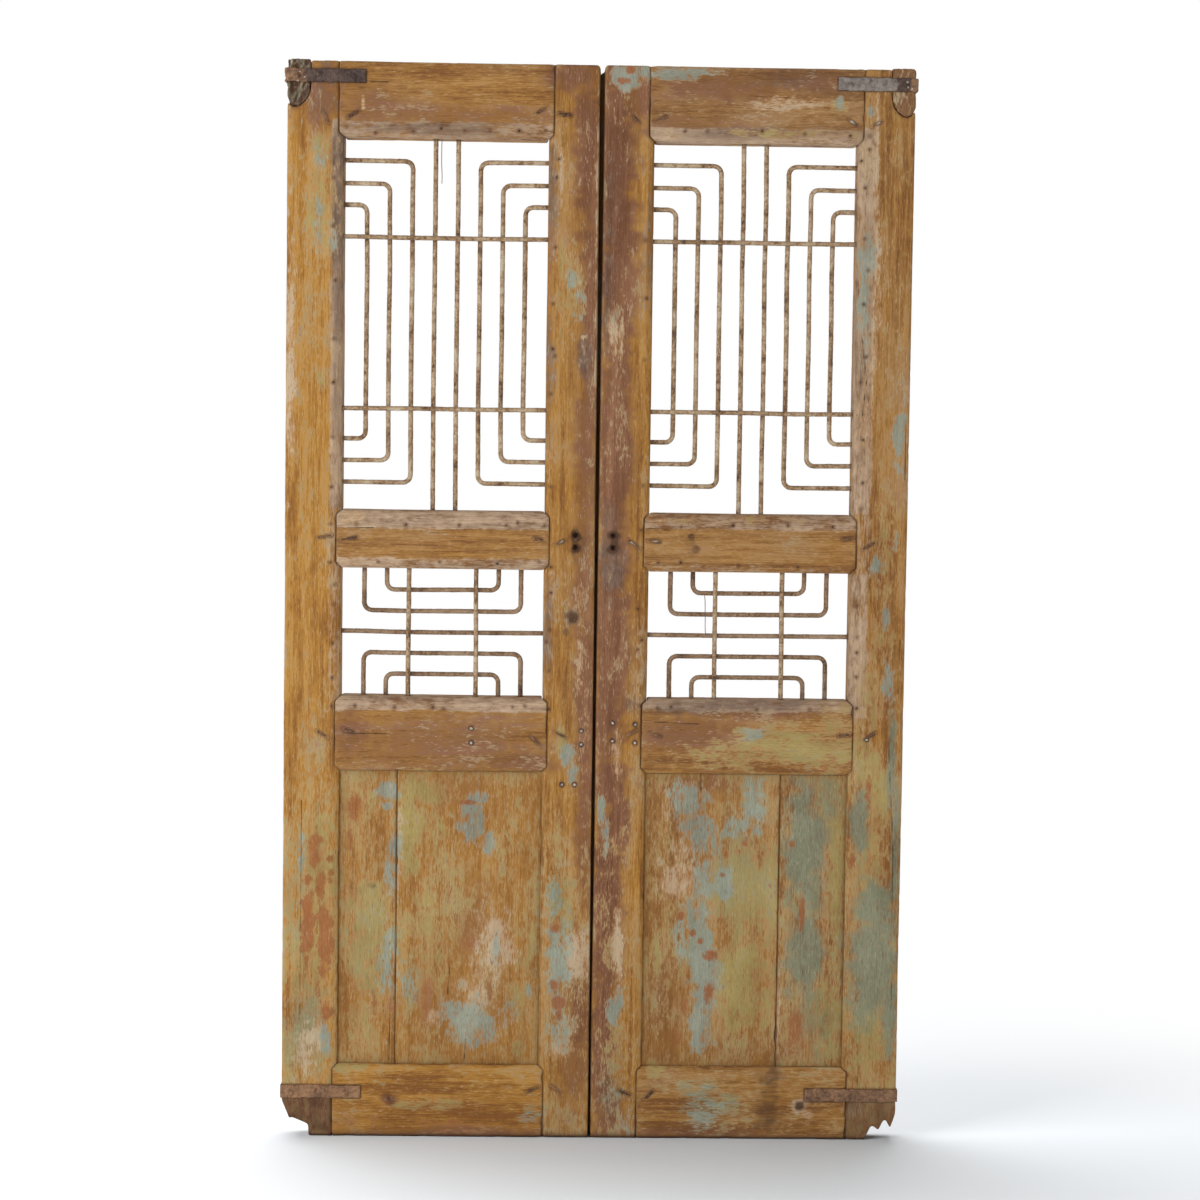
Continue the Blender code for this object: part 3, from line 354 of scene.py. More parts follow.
# Area lamps: width and height, place, and the point that each looks at (m). Those that aren't on the doors
# light the floor alone.
LAMPS = {
    "key": ((2.6, 2.6), (-2.6, -3.8, 2.9), (0, 0, 0.95)),
    "fill": ((2.6, 2.6), (2.9, -3.4, 1.7), (0, 0, 0.95)),
    "overhead": ((5.0, 3.2), (-0.8, 1.6, 4.4), (-0.8, 1.6, 0)),
    "low": ((2.6, 2.6), (-3.6, -2.2, 1.2), (0, 0, 0.3)),
}
LAMPS_ON_DOORS = ("key", "fill")


def linear(code):
    """An sRGB hex colour as linear red, green, blue and alpha."""
    parts = [int(code[i : i + 2], 16) / 255 for i in (1, 3, 5)]
    return tuple(c / 12.92 if c <= 0.04045 else ((c + 0.055) / 1.055) ** 2.4 for c in parts) + (1.0,)


def colour(name, code, description):
    """A colour that a user may change."""
    return bpy.props.FloatVectorProperty(
        name=name, description=description, default=linear(code), size=4, min=0, max=1, subtype="COLOR"
    )


def dark_of(what, code):
    """The dark or dirty part of a coat, stain or rust."""
    return colour(f"{what.capitalize()}, dark", code, f"Dark or dirty part of the {what}")


def middle_of(what, code):
    """The middle of a stain or rust."""
    return colour(f"{what.capitalize()}, middle", code, f"Middle of the {what}")


def light_of(what, code):
    """The light or clean part of a coat, stain or rust."""
    return colour(f"{what.capitalize()}, light", code, f"Light or clean part of the {what}")


def number(name, value, description, **settings):
    """A number that a user may change."""
    return bpy.props.FloatProperty(name=name, description=description, default=value, **settings)


def length(name, mm, description):
    """A length that a user may change."""
    return number(name, mm * MM, description, min=0, unit="LENGTH", precision=4)


def angle(name, degrees, description):
    """An angle that a user may change."""
    return number(name, math.radians(degrees), description, unit="ROTATION")


def power(name, watts, description):
    """A lamp's power that a user may change."""
    return number(name, watts, description, min=0, unit="POWER")


class JaliWood(bpy.types.PropertyGroup):
    """Sizes and colours of the boards."""

    stile_detail: length("Stile detail", 2.6, "Distance between the points of a stile's mesh")
    rail_detail: length("Rail detail", 2.3, "Distance between the points of a rail's or plank's mesh")
    graft_detail: length("Graft detail", 1.6, "Distance between the points of a graft's mesh")
    sway: length("Sway", 0.6, "How far the planed faces wander in and out")
    ridge: length("Grain ridge", 0.2, "How far hard grain stands out of the weathered face")
    chip: length("Arris chips", 2.4, "How deep the arrises are knocked")
    corner: length("Top corner", 9, "Radius worn on the top corners of meeting stiles and grafts")
    gold_low: dark_of("golden stain", "#86582B")
    gold: middle_of("golden stain", "#AF7D38")
    gold_high: light_of("golden stain", "#CBA05A")
    brown_low: dark_of("brown stain", "#6A4831")
    brown: middle_of("brown stain", "#926B44")
    brown_high: light_of("brown stain", "#B58F63")
    plank_low: dark_of("panel planks", "#90622F")
    plank: middle_of("panel planks", "#AA7A3B")
    plank_high: light_of("panel planks", "#C5A05E")
    varnish_low: dark_of("yellowed varnish", "#9A6A24")
    varnish_high: light_of("yellowed varnish", "#BB9444")
    red_low: dark_of("red stain", "#5A3627")
    red_high: light_of("red stain", "#91634B")
    bare_low: dark_of("bare weathered bands", "#7F6652")
    bare_high: light_of("bare weathered bands", "#CBB094")
    thin_low: dark_of("paint rubbed thin", "#A0734A")
    thin_high: light_of("paint rubbed thin", "#C29A6C")
    blue_low: dark_of("grey-blue paint", "#727B70")
    blue_high: light_of("grey-blue paint", "#A1A898")
    haze_low: dark_of("thin blue wash", "#646D59")
    haze_high: light_of("thin blue wash", "#8B927D")
    smoke_low: dark_of("purple-grey weathering", "#4E3C31")
    smoke_high: light_of("purple-grey weathering", "#8A7261")
    olive_low: dark_of("olive wash", "#8A7B46")
    olive_high: light_of("olive wash", "#B2A163")
    primer_low: dark_of("orange primer", "#844E2B")
    primer_high: light_of("orange primer", "#A56236")
    pale_low: dark_of("pale paint", "#B08E6C")
    pale_high: light_of("pale paint", "#CDB89A")
    # The light part of this grime colour is also the colour of the painted shade at the floor, along the
    # straps, at the grafts' edges and inside the gap.
    dark_low: dark_of("grime round nails and latch holes", "#2A1B14")
    dark_high: light_of("grime round nails and latch holes", "#5E3F2C")
    # Also the colour of the deepest painted shade at the floor and along the straps.
    crack: colour("Crack", "#2B1C13", "Inside of cracks and tack holes")
    arris: colour("Worn arris", "#BD9B70", "Wood rubbed bare on the arrises")


class JaliIron(bpy.types.PropertyGroup):
    """Sizes and colours of the iron."""

    rod_detail: length("Rod detail", 1.8, "Distance between the points of a rod's mesh")
    strap_detail: length("Strap detail", 1.3, "Distance between the points of a strap's mesh")
    rod_sway: length("Rod sway", 0.9, "How far a hand-straightened rod wanders")
    pitting: length("Rust pitting", 0.35, "How deep rust has eaten")
    dome_radius: length("Dome nail radius", 3.9, "Radius of a dome nail's head")
    dome_height: length("Dome nail height", 2.6, "How far a dome nail's head stands out")
    wire_radius: length("Wire radius", 0.7, "Radius of a screen wire")
    fray: length("Strap fray", 1.4, "How far a strap's edges are eaten in and out")
    clinch_width: length("Clinched nail width", 5.4, "Width of a bent-over nail")
    rust_low: dark_of("rod rust", "#503A2B")
    rust: light_of("rod rust", "#94734F")
    rod_paint: dark_of("old rod paint", "#B29676")
    rod_high: light_of("old rod paint", "#CDBA9A")
    red_rust: colour("Red rust", "#80583E", "Rust of the lower grille's bars, and of nails and wires")
    strap_low: dark_of("strap rust", "#2B1F1B")
    strap: middle_of("strap rust", "#523D34")
    strap_high: light_of("strap rust", "#7E6B5D")
    strap_red_low: dark_of("brown strap rust", "#604636")
    strap_red: light_of("brown strap rust", "#B08259")
    scale_low: dark_of("grey scale", "#5D524B")
    scale_high: light_of("grey scale", "#A69D93")
    # Also the colour of the painted highlight on the crowns of the dome and clinched nails.
    rubbed: colour("Rubbed iron", "#D3C8B6", "Lime specks, and iron rubbed bright")


class JaliStage(bpy.types.PropertyGroup):
    """Camera, floor and light."""

    camera_place: bpy.props.FloatVectorProperty(
        name="Camera place", description="Where the camera stands", default=(-0.0778, -4.2, 1.1684),
        size=3, unit="LENGTH",
    )
    camera_yaw: angle("Camera yaw", 1.16397, "Turn to the right")
    camera_pitch: angle("Camera pitch", -3.07875, "Tilt upwards")
    camera_roll: angle("Camera roll", 0.76592, "Roll to the left")
    lens: number("Lens", 72.57, "Focal length", min=1, unit="CAMERA")
    floor: colour("Floor", "#C8CBCE", "Plain pale floor")
    white: colour("Background", "#FFFFFF", "Background that the camera sees")
    world: number("World", 0.24, "Light from all around", min=0)
    key: power("Key", 111, "Front lamp on the left")
    fill: power("Fill", 34, "Front lamp on the right")
    overhead: power("Overhead", 365, "Lamp over and behind the doors, for the floor alone")
    low: power("Low", 390, "Low lamp on the left, for the floor alone")


def alone(piece):
    """Make one object the only one selected, and active."""
    bpy.ops.object.select_all(action="DESELECT")
    piece.select_set(True)
    bpy.context.view_layer.objects.active = piece


def copy_of(node):
    """A new piece from a merged copy of a CAD node's mesh."""
    piece = bpy.data.objects.new(f"worn_{node}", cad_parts[node].data.copy())
    piece.data.materials.clear()
    bpy.context.scene.collection.objects.link(piece)
    alone(piece)
    bpy.ops.object.mode_set(mode="EDIT")
    bpy.ops.mesh.select_all(action="SELECT")
    bpy.ops.mesh.remove_doubles(threshold=0.01 * MM)
    bpy.ops.object.mode_set(mode="OBJECT")
    return piece


def fine_mesh(piece, detail):
    """Give a piece an even mesh of small faces, with its steps smoothed twice."""
    alone(piece)
    bpy.ops.object.modifier_add(type="REMESH")
    remesh = piece.modifiers[-1]
    remesh.mode, remesh.voxel_size = "VOXEL", detail
    bpy.ops.object.modifier_apply(modifier=remesh.name)
    bpy.ops.object.mode_set(mode="EDIT")
    bpy.ops.mesh.select_all(action="SELECT")
    bpy.ops.mesh.vertices_smooth(factor=0.5, repeat=2)
    bpy.ops.object.mode_set(mode="OBJECT")
    bpy.ops.object.shade_smooth()
    if not piece.data.vertices:
        raise RuntimeError(f"{piece.name} lost its faces")


def finish_piece(piece, values, material, side, node=None):
    """Give a piece its numbers, material and leaf, and hide the CAD node that it stands for."""
    for name, value in values.items():
        keep(piece.data, name, value)
    piece.data.materials.clear()
    piece.data.materials.append(material)
    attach(piece, f"{side}_leaf")
    if node:
        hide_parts(node)


def read(mesh, name):
    """One vector for each point of a mesh."""
    values = np.empty(len(mesh.vertices) * 3, np.float32)
    mesh.vertices.foreach_get(name, values)
    return values.reshape(-1, 3).astype(np.float64)


def write(mesh, points):
    """Move a mesh's points."""
    mesh.vertices.foreach_set("co", points.astype(np.float32).ravel())
    mesh.update()


def keep(mesh, name, values):
    """Store one number for each point, for the materials."""
    layer = mesh.attributes.new(name, "FLOAT", "POINT")
    layer.data.foreach_set("value", np.broadcast_to(values, len(mesh.vertices)).astype(np.float32))


def rough(points, size, seed=0):
    """Smooth random values from about -1 to 1 that change over `size` metres along each axis."""
    primes = np.array([73856093, 19349663, 83492791])  # large primes keep neighbouring cells unlike
    spots = points / np.asarray(size, float) + 17.3 * seed
    cell = np.floor(spots).astype(np.int64)
    part = spots - cell
    part = part * part * (3 - 2 * part)
    total = np.zeros(len(points))
    for corner in range(8):
        step = np.array([corner & 1, corner >> 1 & 1, corner >> 2 & 1])
        key = ((cell + step) * primes).sum(1) + seed * 1013
        for shift, prime in ((13, 1274126177), (15, 668265263)):
            key = (key ^ (key >> shift)) * prime & 0x7FFFFFFF
        share = np.where(step, part, 1 - part).prod(1)
        total += share * ((key >> 7 & 0xFFFF) / 32767.5 - 1)
    return total


def hump(distance, reach):
    """1 where a distance is 0, falling to nothing over about twice `reach`."""
    return np.exp(-((distance / reach) ** 2))


def bulge(mesh, points, normals, widen):
    """How far each point stands out from its neighbours, spread a little way: the arrises come out high."""
    ends = np.empty(len(mesh.edges) * 2, np.int32)
    mesh.edges.foreach_get("vertices", ends)
    a, b = ends.reshape(-1, 2).T
    count = len(points)
    degree = np.maximum(np.bincount(a, minlength=count) + np.bincount(b, minlength=count), 1)

    def around(values):
        return (np.bincount(a, values[b], count) + np.bincount(b, values[a], count)) / degree

    mean = np.stack([around(points[:, i]) for i in range(3)], 1)
    out = ((points - mean) * normals).sum(1)
    for _ in range(widen):
        out = 0.5 * out + 0.5 * around(out)
    return out


def near_lines(u, z, lines):
    """Distance in metres to the nearest of some straight lines, up to FAR."""
    far = np.full(len(u), FAR)
    for u0, z0, u1, z1 in np.array(lines, float) * MM:
        span = np.array([u1 - u0, z1 - z0])
        share = np.clip(((u - u0) * span[0] + (z - z0) * span[1]) / (span @ span), 0, 1)
        far = np.minimum(far, np.hypot(u - u0 - share * span[0], z - z0 - share * span[1]))
    return far


def near_marks(u, z, marks):
    """Distance in metres to the nearest of some points, up to FAR."""
    far = np.full(len(u), FAR)
    for mark_u, mark_z in marks:
        far = np.minimum(far, np.hypot(u - mark_u * MM, z - mark_z * MM))
    return far


def surface_of(node):
    """A CAD node's surface, to find the nearest place on it."""
    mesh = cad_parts[node].data
    return BVHTree.FromPolygons([v.co for v in mesh.vertices], [p.vertices for p in mesh.polygons])


def near_pieces(points, nodes, reach):
    """Distance in metres from each point to the nearest of some CAD pieces, up to `reach`."""
    far = np.full(len(points), reach)
    for node in nodes:
        surface = surface_of(node)
        low, high = (np.array(corner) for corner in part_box(node))
        close = ((points > low - reach) & (points < high + reach)).all(1)
        for i in np.flatnonzero(close):
            distance = surface.find_nearest(Vector(points[i]), reach)[3]
            if distance is not None:
                far[i] = min(far[i], distance)
    return far


def cover(u, z, patches, wander):
    """How much of a paint is left at each point, from its patches."""
    left = np.zeros(len(u))
    for patch_u, patch_z, wide, high, strength in patches:
        reach = np.hypot((u / MM - patch_u) / wide, (z / MM - patch_z) / high) + 0.45 * wander
        left = np.maximum(left, strength * np.clip(1.35 - 0.75 * reach, 0, 0.95))
    return left


# Patches of each paint on a leaf's back, which the photograph doesn't show: how many, and the limits of a
# patch in the order that REMAINS has them.
BACK_SEEDS = {"left": 41, "right": 42}
BACK_COUNTS = {
    "blue": 16, "haze": 10, "smoke": 10, "olive": 24, "primer": 12, "red": 16, "pale": 14, "dark": 2,
}
BACK_RANGES = ((0, 535), (20, 1840), (8, 34), (20, 95), (0.45, 0.9))


def back_remains(side):
    """Made-up paint remains for the back of a leaf."""
    chance = np.random.RandomState(BACK_SEEDS[side])
    return {
        kind: [tuple(chance.uniform(low, high) for low, high in BACK_RANGES) for _ in range(count)]
        for kind, count in BACK_COUNTS.items()
    }


BACK_REMAINS = {side: back_remains(side) for side in SIDES}


# Sizes of the wear, and of the painted shade, on the boards, in metres.
BAND_DEPTH = 0.4 * MM
BAND_BLUR = 6 * MM
BAND_PAST = {"outer_stile": 30 * MM, "meeting_stile": 10 * MM}  # how far a bare band runs past its opening
JOINT_DEPTH, JOINT_WIDTH, JOINT_REACH = 0.5 * MM, 1.1 * MM, 4 * MM
# How far painted shade reaches at a graft's edges, along a strap's edges and up from the floor.
GRAFT_EDGE_SHADE, STRAP_SHADE, FLOOR_SHADE_REACH = 3.5 * MM, 1.8 * MM, 8 * MM
SHELTERED_VARNISH, SHELTERED_DARKENING = 26 * MM, 14 * MM
CRACK_DEPTH, CRACK_WIDTH = 0.8 * MM, 1.8 * MM
TACK_DEPTH, TACK_WIDTH = 0.9 * MM, 2 * MM
RING_DEPTH = 1.1 * MM  # of the dent round a nail
NAIL_RING, NAIL_RING_WIDTH = 3.2 * MM, 1.3 * MM
DOME_RING, DOME_RING_WIDTH = 4.1 * MM, 1.5 * MM
ARRIS_WEAR = 0.3 * MM
RIDGE_WIDTH, RIDGE_LENGTH = 5 * MM, 90 * MM
GRAFT_SCALE = (4 * MM, 9 * MM, 22 * MM)  # a split scale of a weathered graft
WAIST, WAIST_BLUR = 0.8, 0.35
SLIT_BEHIND, SLIT_NEARER, SLIT_SLOPE = 1 * MM, 0.72 * MM, 0.0123


def bare_band(node, side, u, z):
    """How far inside a bare band each point lies, from 0 to 1."""
    band = {name: width * MM for name, width in BANDS[side].items()}
    top, lock, panel = (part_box(f"{side}_{rail}") for rail in RAILS[:3])
    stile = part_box(f"{side}_outer_stile")
    if node not in KEPT_BANDS and node not in RAIL_BANDS:
        return np.zeros(len(u))
    board = node.split("_", 1)[1]
    if board in STILES:
        past = BAND_PAST[board]
        inside = np.minimum(z - panel[1].z + past, top[0].z + past - z)
        if board == "outer_stile":
            inside = np.minimum(u - (stile[1].x - stile[0].x - band["outer"]), inside)
        else:
            inside = np.minimum(OPENING[1] + band["meeting"] - u, inside)
        upper, lower, at_lock = KEPT_BANDS[node]
        kept = np.select([z > lock[1].z, z > lock[0].z], [upper, at_lock], lower)
    else:
        inside = {
            "top_rail": top[0].z + band["top"] - z,
            "lock_rail": np.maximum(z - (lock[1].z - band["lock_up"]), lock[0].z + band["lock_low"] - z),
            "panel_rail": z - (panel[1].z - band["panel"]),
        }[board]
        kept = np.where(z > (z.max() + z.min()) / 2, *RAIL_BANDS[node])
    return np.clip(0.5 + inside / BAND_BLUR, 0, 1) * kept


def joint_dirt_and_shade(node, side, points):
    """How dark each point is made: dark joints with other boards, dirt and painted shade along a strap's
    edge, painted shade at a graft's edges and at the floor, from 0 to 1.
    """
    board = node.split("_", 1)[1]
    others = STILES if board in RAILS else RAILS
    if board == "outer_stile":
        others = (*RAILS, GRAFT)
    elif board == GRAFT:
        others = ("outer_stile",)
    elif board in PLANKS:
        others = (*STILES, *RAILS, *(plank for plank in PLANKS if plank != board))
    joint = near_pieces(points, [f"{side}_{other}" for other in others], JOINT_REACH)
    strap = near_pieces(points, [f"{side}_top_strap", f"{side}_foot_strap"], JOINT_REACH)
    line = 0.48 * hump(joint, JOINT_WIDTH) * (1 + 0.7 * rough(points, 34 * MM, 12))
    # Painted shade: a graft darkens towards its edges, as a rounded shape does in shade.
    if board == GRAFT:
        line = np.maximum(line, 0.6 * np.exp(-joint / GRAFT_EDGE_SHADE))
    # Dirt and painted shade along the edges of the straps, where they stand on the wood.
    shade = 0.8 * hump(strap, STRAP_SHADE)
    # Painted shade: each board darkens towards its bottom edge, where it stands on the floor.
    foot = hump(points[:, 2], FLOOR_SHADE_REACH)
    return np.clip(np.maximum.reduce([line, shade, foot]), 0, 1)


def sheltered(node, side, u, z):
    """How much yellowed varnish the sheltered edges of a board keep, and how much darker a plank is made
    towards its edges.
    """
    if node.split("_", 1)[1] not in PLANKS:
        return np.full(len(u), 0.14), np.zeros(len(u))
    low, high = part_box(f"{side}_bottom_rail")[1].z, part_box(f"{side}_panel_rail")[0].z
    edge = np.minimum.reduce([np.abs(u - OPENING[0]), np.abs(u - OPENING[1]), z - low, high - z])
    return 0.75 * np.exp(-edge / SHELTERED_VARNISH), 0.3 * np.exp(-edge / SHELTERED_DARKENING)


def board_marks(side, u, z, points, front):
    """Distances to the front's cracks and tack holes, and how far each point lies in a dent round a nail."""
    crack = near_lines(u, z, CRACKS[side]) + 0.5 * MM * np.abs(rough(points, 9 * MM, 5))
    hole = near_marks(u, z, TACKS[side]) + 1.1 * MM * rough(points, 6 * MM, 9)
    nail = near_lines(u, z, [nail[:4] for nail in CLINCHED[side]])
    dome = near_marks(u, z, DOMES[side])
    crack, hole, nail, dome = (np.where(front > 0, far, FAR) for far in (crack, hole, nail, dome))
    ring = hump(nail - NAIL_RING, NAIL_RING_WIDTH) * (0.7 + 0.5 * rough(points, 12 * MM, 10))
    return crack, hole, np.maximum(ring, hump(dome - DOME_RING, DOME_RING_WIDTH))


def dress_board(node, along, detail, material):
    """Stand a worn board for a CAD board: even mesh, worn faces and arrises, cracks, paint remains."""
    wood = bpy.context.scene.jali_wood
    side, board = node.split("_", 1)
    piece = copy_of(node)
    fine_mesh(piece, detail)
    mesh = piece.data
    points, normals = read(mesh, "co"), read(mesh, "normal")
    u = HUNG_EDGE[side] - OUTWARD[side] * points[:, 0]
    y, z = points[:, 1], points[:, 2]
    seed = sum(map(ord, node))
    wander = rough(points, 18 * MM, 3) + 0.5 * rough(points, 7 * MM, 4)
    arris = np.clip(bulge(mesh, points, normals, 2) / (0.12 * detail), 0, 1)
    depth = (y - y.min()) / np.ptp(y)
    front = np.clip((0.6 - depth) / 0.3, 0, 1)
    crack, hole, ring = board_marks(side, u, z, points, front)
    joints_and_shade = joint_dirt_and_shade(node, side, points)
    ragged_u = u + 2.5 * MM * rough(points, 30 * MM, 6)
    ragged_z = z + 2 * MM * rough(points, 30 * MM, 7)
    bare = bare_band(node, side, ragged_u, ragged_z) * front

    grain = [RIDGE_LENGTH if axis == along else RIDGE_WIDTH for axis in range(3)]
    push = wood.sway * rough(points, (0.14, 0.14, 0.2), 1) + wood.ridge * rough(points, grain, seed % 97)
    push -= wood.chip * arris * np.clip(1.8 * rough(points, 19 * MM, 8) - 0.35, 0, 1) + ARRIS_WEAR * arris
    push -= CRACK_DEPTH * hump(crack, CRACK_WIDTH) + TACK_DEPTH * hump(hole, TACK_WIDTH)
    push -= BAND_DEPTH * bare + RING_DEPTH * ring + JOINT_DEPTH * joints_and_shade
    if board == GRAFT:
        relief, coats = GRAFTS[side]
        slant = points @ np.array([[1, 0, 0], [0, 1, 0], [-0.4, 0, 1]])
        scales = rough(slant, GRAFT_SCALE, 51) + 0.5 * rough(points, 4 * MM, 52)
        push += relief * MM * (scales - 0.5)
    shaped = points + normals * push[:, None]
    if board == "meeting_stile":
        shaped = closed_slit(shaped, points, normals, node, side)
        shaped = rounded_corner(shaped, HUNG_EDGE[side] - LEAF_WIDTH, -1, side, wood.corner)
    elif board == GRAFT:
        shaped = rounded_corner(shaped, HUNG_EDGE[side], 1, side, wood.corner)
    write(mesh, shaped)

    left = {}
    for kind in BACK_COUNTS:
        value = cover(u, z, REMAINS[kind, side], wander) * front
        left[kind] = np.maximum(value, cover(u, z, BACK_REMAINS[side][kind], wander) * (1 - front))
    low = np.clip((WAIST - z) / WAIST_BLUR, 0, 1)
    wash, wash_low = WASH.get(board, (0.0, 0.0))
    left["olive"] = np.maximum(left["olive"], wash + wash_low * low)
    left["thin"] = np.maximum.reduce([left["olive"], left["blue"], left["pale"]])
    left["bare"] = bare
    left["varnish"], edge_darkening = sheltered(node, side, u, z)
    # Dark joints, darkening in the dents round nails and along plank edges, and painted shade at the floor,
    # along the straps, at the grafts' edges and inside the gap.
    nook = np.maximum.reduce([joints_and_shade, 0.85 * ring, edge_darkening * front])
    if board == GRAFT:
        for coat, (amount, raised) in coats.items():
            left[coat] = np.maximum(left[coat], amount + raised * scales)
    elif board == "outer_stile":
        # Below the foot strap the outer stile is made darker and keeps more of the brown coat.
        below = np.clip((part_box(f"{side}_foot_strap")[0].z + 4 * MM - z) / (6 * MM), 0, 1)
        coat, grime = FEET[side]
        left["red"] = np.maximum(left["red"], coat * below)
        nook = np.maximum(nook, grime * below * (0.92 + 0.2 * rough(points, 15 * MM, 13)))
    elif board == "meeting_stile":
        # Painted shade: the meeting stile's faces inside the gap between the leaves are darkened, as if in
        # the gap's shadow.
        inner = np.maximum(-OUTWARD[side] * normals[:, 0], np.where(y > SLIT_BEHIND, -normals[:, 1], 0))
        nook = np.maximum(nook, np.where(u > LIP_FROM, np.clip(3 * inner - 1.6, 0, 0.62), 0))
    left.update(nook=nook, crack=crack, hole=hole, arris=arris, tone=TONES[node], board=seed % 89 * 0.73)
    finish_piece(piece, left, material, side, node)


def closed_slit(points, plain, normals, node, side):
    """Bring the plain faces behind the gap nearer to each other, further in front than at their back corners,
    which need half a millimetre to swing past."""
    facing = (-OUTWARD[side] * normals[:, 0] > 0.5) & (plain[:, 1] > SLIT_BEHIND)
    facing &= np.abs(plain[:, 0]) < 30 * MM
    surface = surface_of(node)
    closed = points.copy()
    for i in np.flatnonzero(facing):
        closed[i] = surface.find_nearest(Vector(plain[i]))[0]
    nearer = SLIT_NEARER - SLIT_SLOPE * np.clip(closed[:, 1] - 3 * MM, 0, 20 * MM)
    closed[:, 0] += np.where(facing, -OUTWARD[side] * nearer, 0)
    return closed


def rounded_corner(points, edge, outward, side, radius):
    """Round the top corner of a board at an edge that lies `edge` from the middle: outward is 1 on the hung
    side."""
    across = (points[:, 0] * OUTWARD[side] - edge) * outward
    away = np.stack([across + radius, points[:, 2] - (points[:, 2].max() - radius)], 1)
    far = np.hypot(away[:, 0], away[:, 1])
    pull = np.where((away > 0).all(1) & (far > radius), radius / np.maximum(far, 1e-9), 1)
    away *= pull[:, None]
    rounded = points.copy()
    rounded[:, 0] = OUTWARD[side] * (edge + outward * (away[:, 0] - radius))
    rounded[:, 2] = away[:, 1] + points[:, 2].max() - radius
    return rounded


def put(tree, kind, inputs=None, out=0, stops=None, **settings):
    """Add a node with its settings and links, and give back one of its outputs."""
    node = tree.nodes.new("ShaderNode" + kind)
    for name, value in settings.items():
        setattr(node, name, value)
    for name, value in (inputs or {}).items():
        if isinstance(value, bpy.types.NodeSocket):
            tree.links.new(value, node.inputs[name])
        else:
            node.inputs[name].default_value = value
    if stops:
        ramp = node.color_ramp.elements
        ramp[0].position, ramp[0].color = stops[0]
        ramp[1].position, ramp[1].color = stops[-1]
        for place, shade in stops[1:-1]:
            ramp.new(place).color = shade
    return node.outputs[out] if node.outputs else node


def work_out(tree, operation, *values, clamp=False):
    """A value worked out from others."""
    return put(tree, "Math", dict(enumerate(values)), operation=operation, use_clamp=clamp)


def add_shares(tree, total, shares):
    """A value with shares of others added."""
    for value, share in shares:
        total = work_out(tree, "MULTIPLY_ADD", value, share, total)
    return total


def spread(tree, value, low=0.0, high=1.0, to_low=0.0, to_high=1.0, **settings):
    """A value taken from one range to another, and held inside that."""
    limits = {"Value": value, "From Min": low, "From Max": high, "To Min": to_low, "To Max": to_high}
    return put(tree, "MapRange", limits, **settings)


def stored(tree, name):
    """One of the numbers that a mesh keeps for each of its points."""
    return put(tree, "Attribute", out="Fac", attribute_name=name)


def mix(tree, share, under, over):
    """A colour laid over another."""
    return put(tree, "MixRGB", {"Fac": share, "Color1": under, "Color2": over})


def matt_surface(tree, shade, roughness, specular, **more):
    """A surface with little shine."""
    inputs = {"Base Color": shade, "Roughness": roughness, "Specular IOR Level": specular, **more}
    return put(tree, "BsdfPrincipled", inputs)


def new_material(name):
    """An empty node material."""
    material = bpy.data.materials.new(name)
    material.use_nodes = True
    material.node_tree.nodes.clear()
    return material, material.node_tree


# Grain of the boards: width across, length along (mm), detail, roughness. The real pores are about 0.3 mm
# wide and are drawn at 2 mm, so that they show.
GRAIN = {
    "figure": (26, 480, 2, 0.5),
    "grain": (6, 150, 3, 0.6),
    "streak": (2.0, 38, 2, 0.6),
    "blotch": (10, 25, 3, 0.62),
    "fleck": (2.1, 10, 2, 0.6),
    "drift": (55, 120, 2, 0.55),
}

# Each coat on the boards, from the wood up: how its edge breaks up, what varies its colour, where it starts
# and is whole, and how much it hides.
COATS = {
    "varnish": ("breakup", "mottle", 0.25, 0.95, 0.7),
    "red": ("uneven", "light", 0.05, 0.7, 0.9),
    "bare": ("breakup", "weather", 0.3, 0.95, 0.88),
    "smoke": ("breakup", "weather", 0.1, 0.85, 0.85),
    "thin": ("breakup", "light", 0.2, 0.45, 0.6),
    "olive": ("ragged", "mottle", 0.28, 0.8, 0.8),
    "haze": ("soft", "mottle", 0.12, 0.9, 0.8),
    "pale": ("ragged", "light", 0.4, 0.8, 0.8),
    "blue": ("ragged", "mottle", 0.3, 0.72, 0.85),
    "primer": ("ragged", "mottle", 0.38, 0.7, 0.85),
    "dark": ("soft", "light", 0.3, 0.85, 0.92),
}
THICK_COATS = ("olive", "blue")


def shades_of(group, stain):
    """The dark, middle and light colour of a stain or rust."""
    return [getattr(group, stain + part) for part in ("_low", "", "_high")]


def wood_noise(tree, along):
    """The grain of one board, and what is made from it: each a value that varies over the board."""
    place = put(tree, "TexCoord", out="Object")
    board = stored(tree, "board")
    noise = {}
    for layer, (wide, long, detail, roughness) in GRAIN.items():
        scale = [1000 / (long if axis == along else wide) for axis in range(3)]
        vector = put(tree, "Mapping", {"Vector": place, "Location": board, "Scale": scale})
        settings = {"Scale": 1.0, "Detail": detail, "Roughness": roughness, "Distortion": 0.2}
        noise[layer] = put(tree, "TexNoise", {"Vector": vector, **settings})
    figure, grain, streak, blotch, fleck, drift = noise.values()
    light = work_out(tree, "MULTIPLY", figure, 0.6)
    light = add_shares(tree, light, ((grain, 0.5), (streak, 0.5), (fleck, 0.3), (drift, 0.6), (blotch, 0.3)))
    light = spread(tree, light, 1.12, 1.68)
    breakup = add_shares(tree, -1.55, ((blotch, 1.3), (fleck, 1.0), (drift, 0.8)))
    return {
        **noise,
        "light": light,
        "uneven": work_out(tree, "SUBTRACT", light, 0.5),
        "breakup": breakup,
        "soft": work_out(tree, "MULTIPLY", breakup, 0.5),
        "ragged": work_out(tree, "MULTIPLY", breakup, 1.35),
        "mottle": spread(tree, add_shares(tree, drift, ((fleck, 0.6), (streak, 0.4))), 0.7, 1.3),
        "weather": spread(tree, add_shares(tree, light, ((blotch, 1.6),)), 0.72, 1.8),
    }


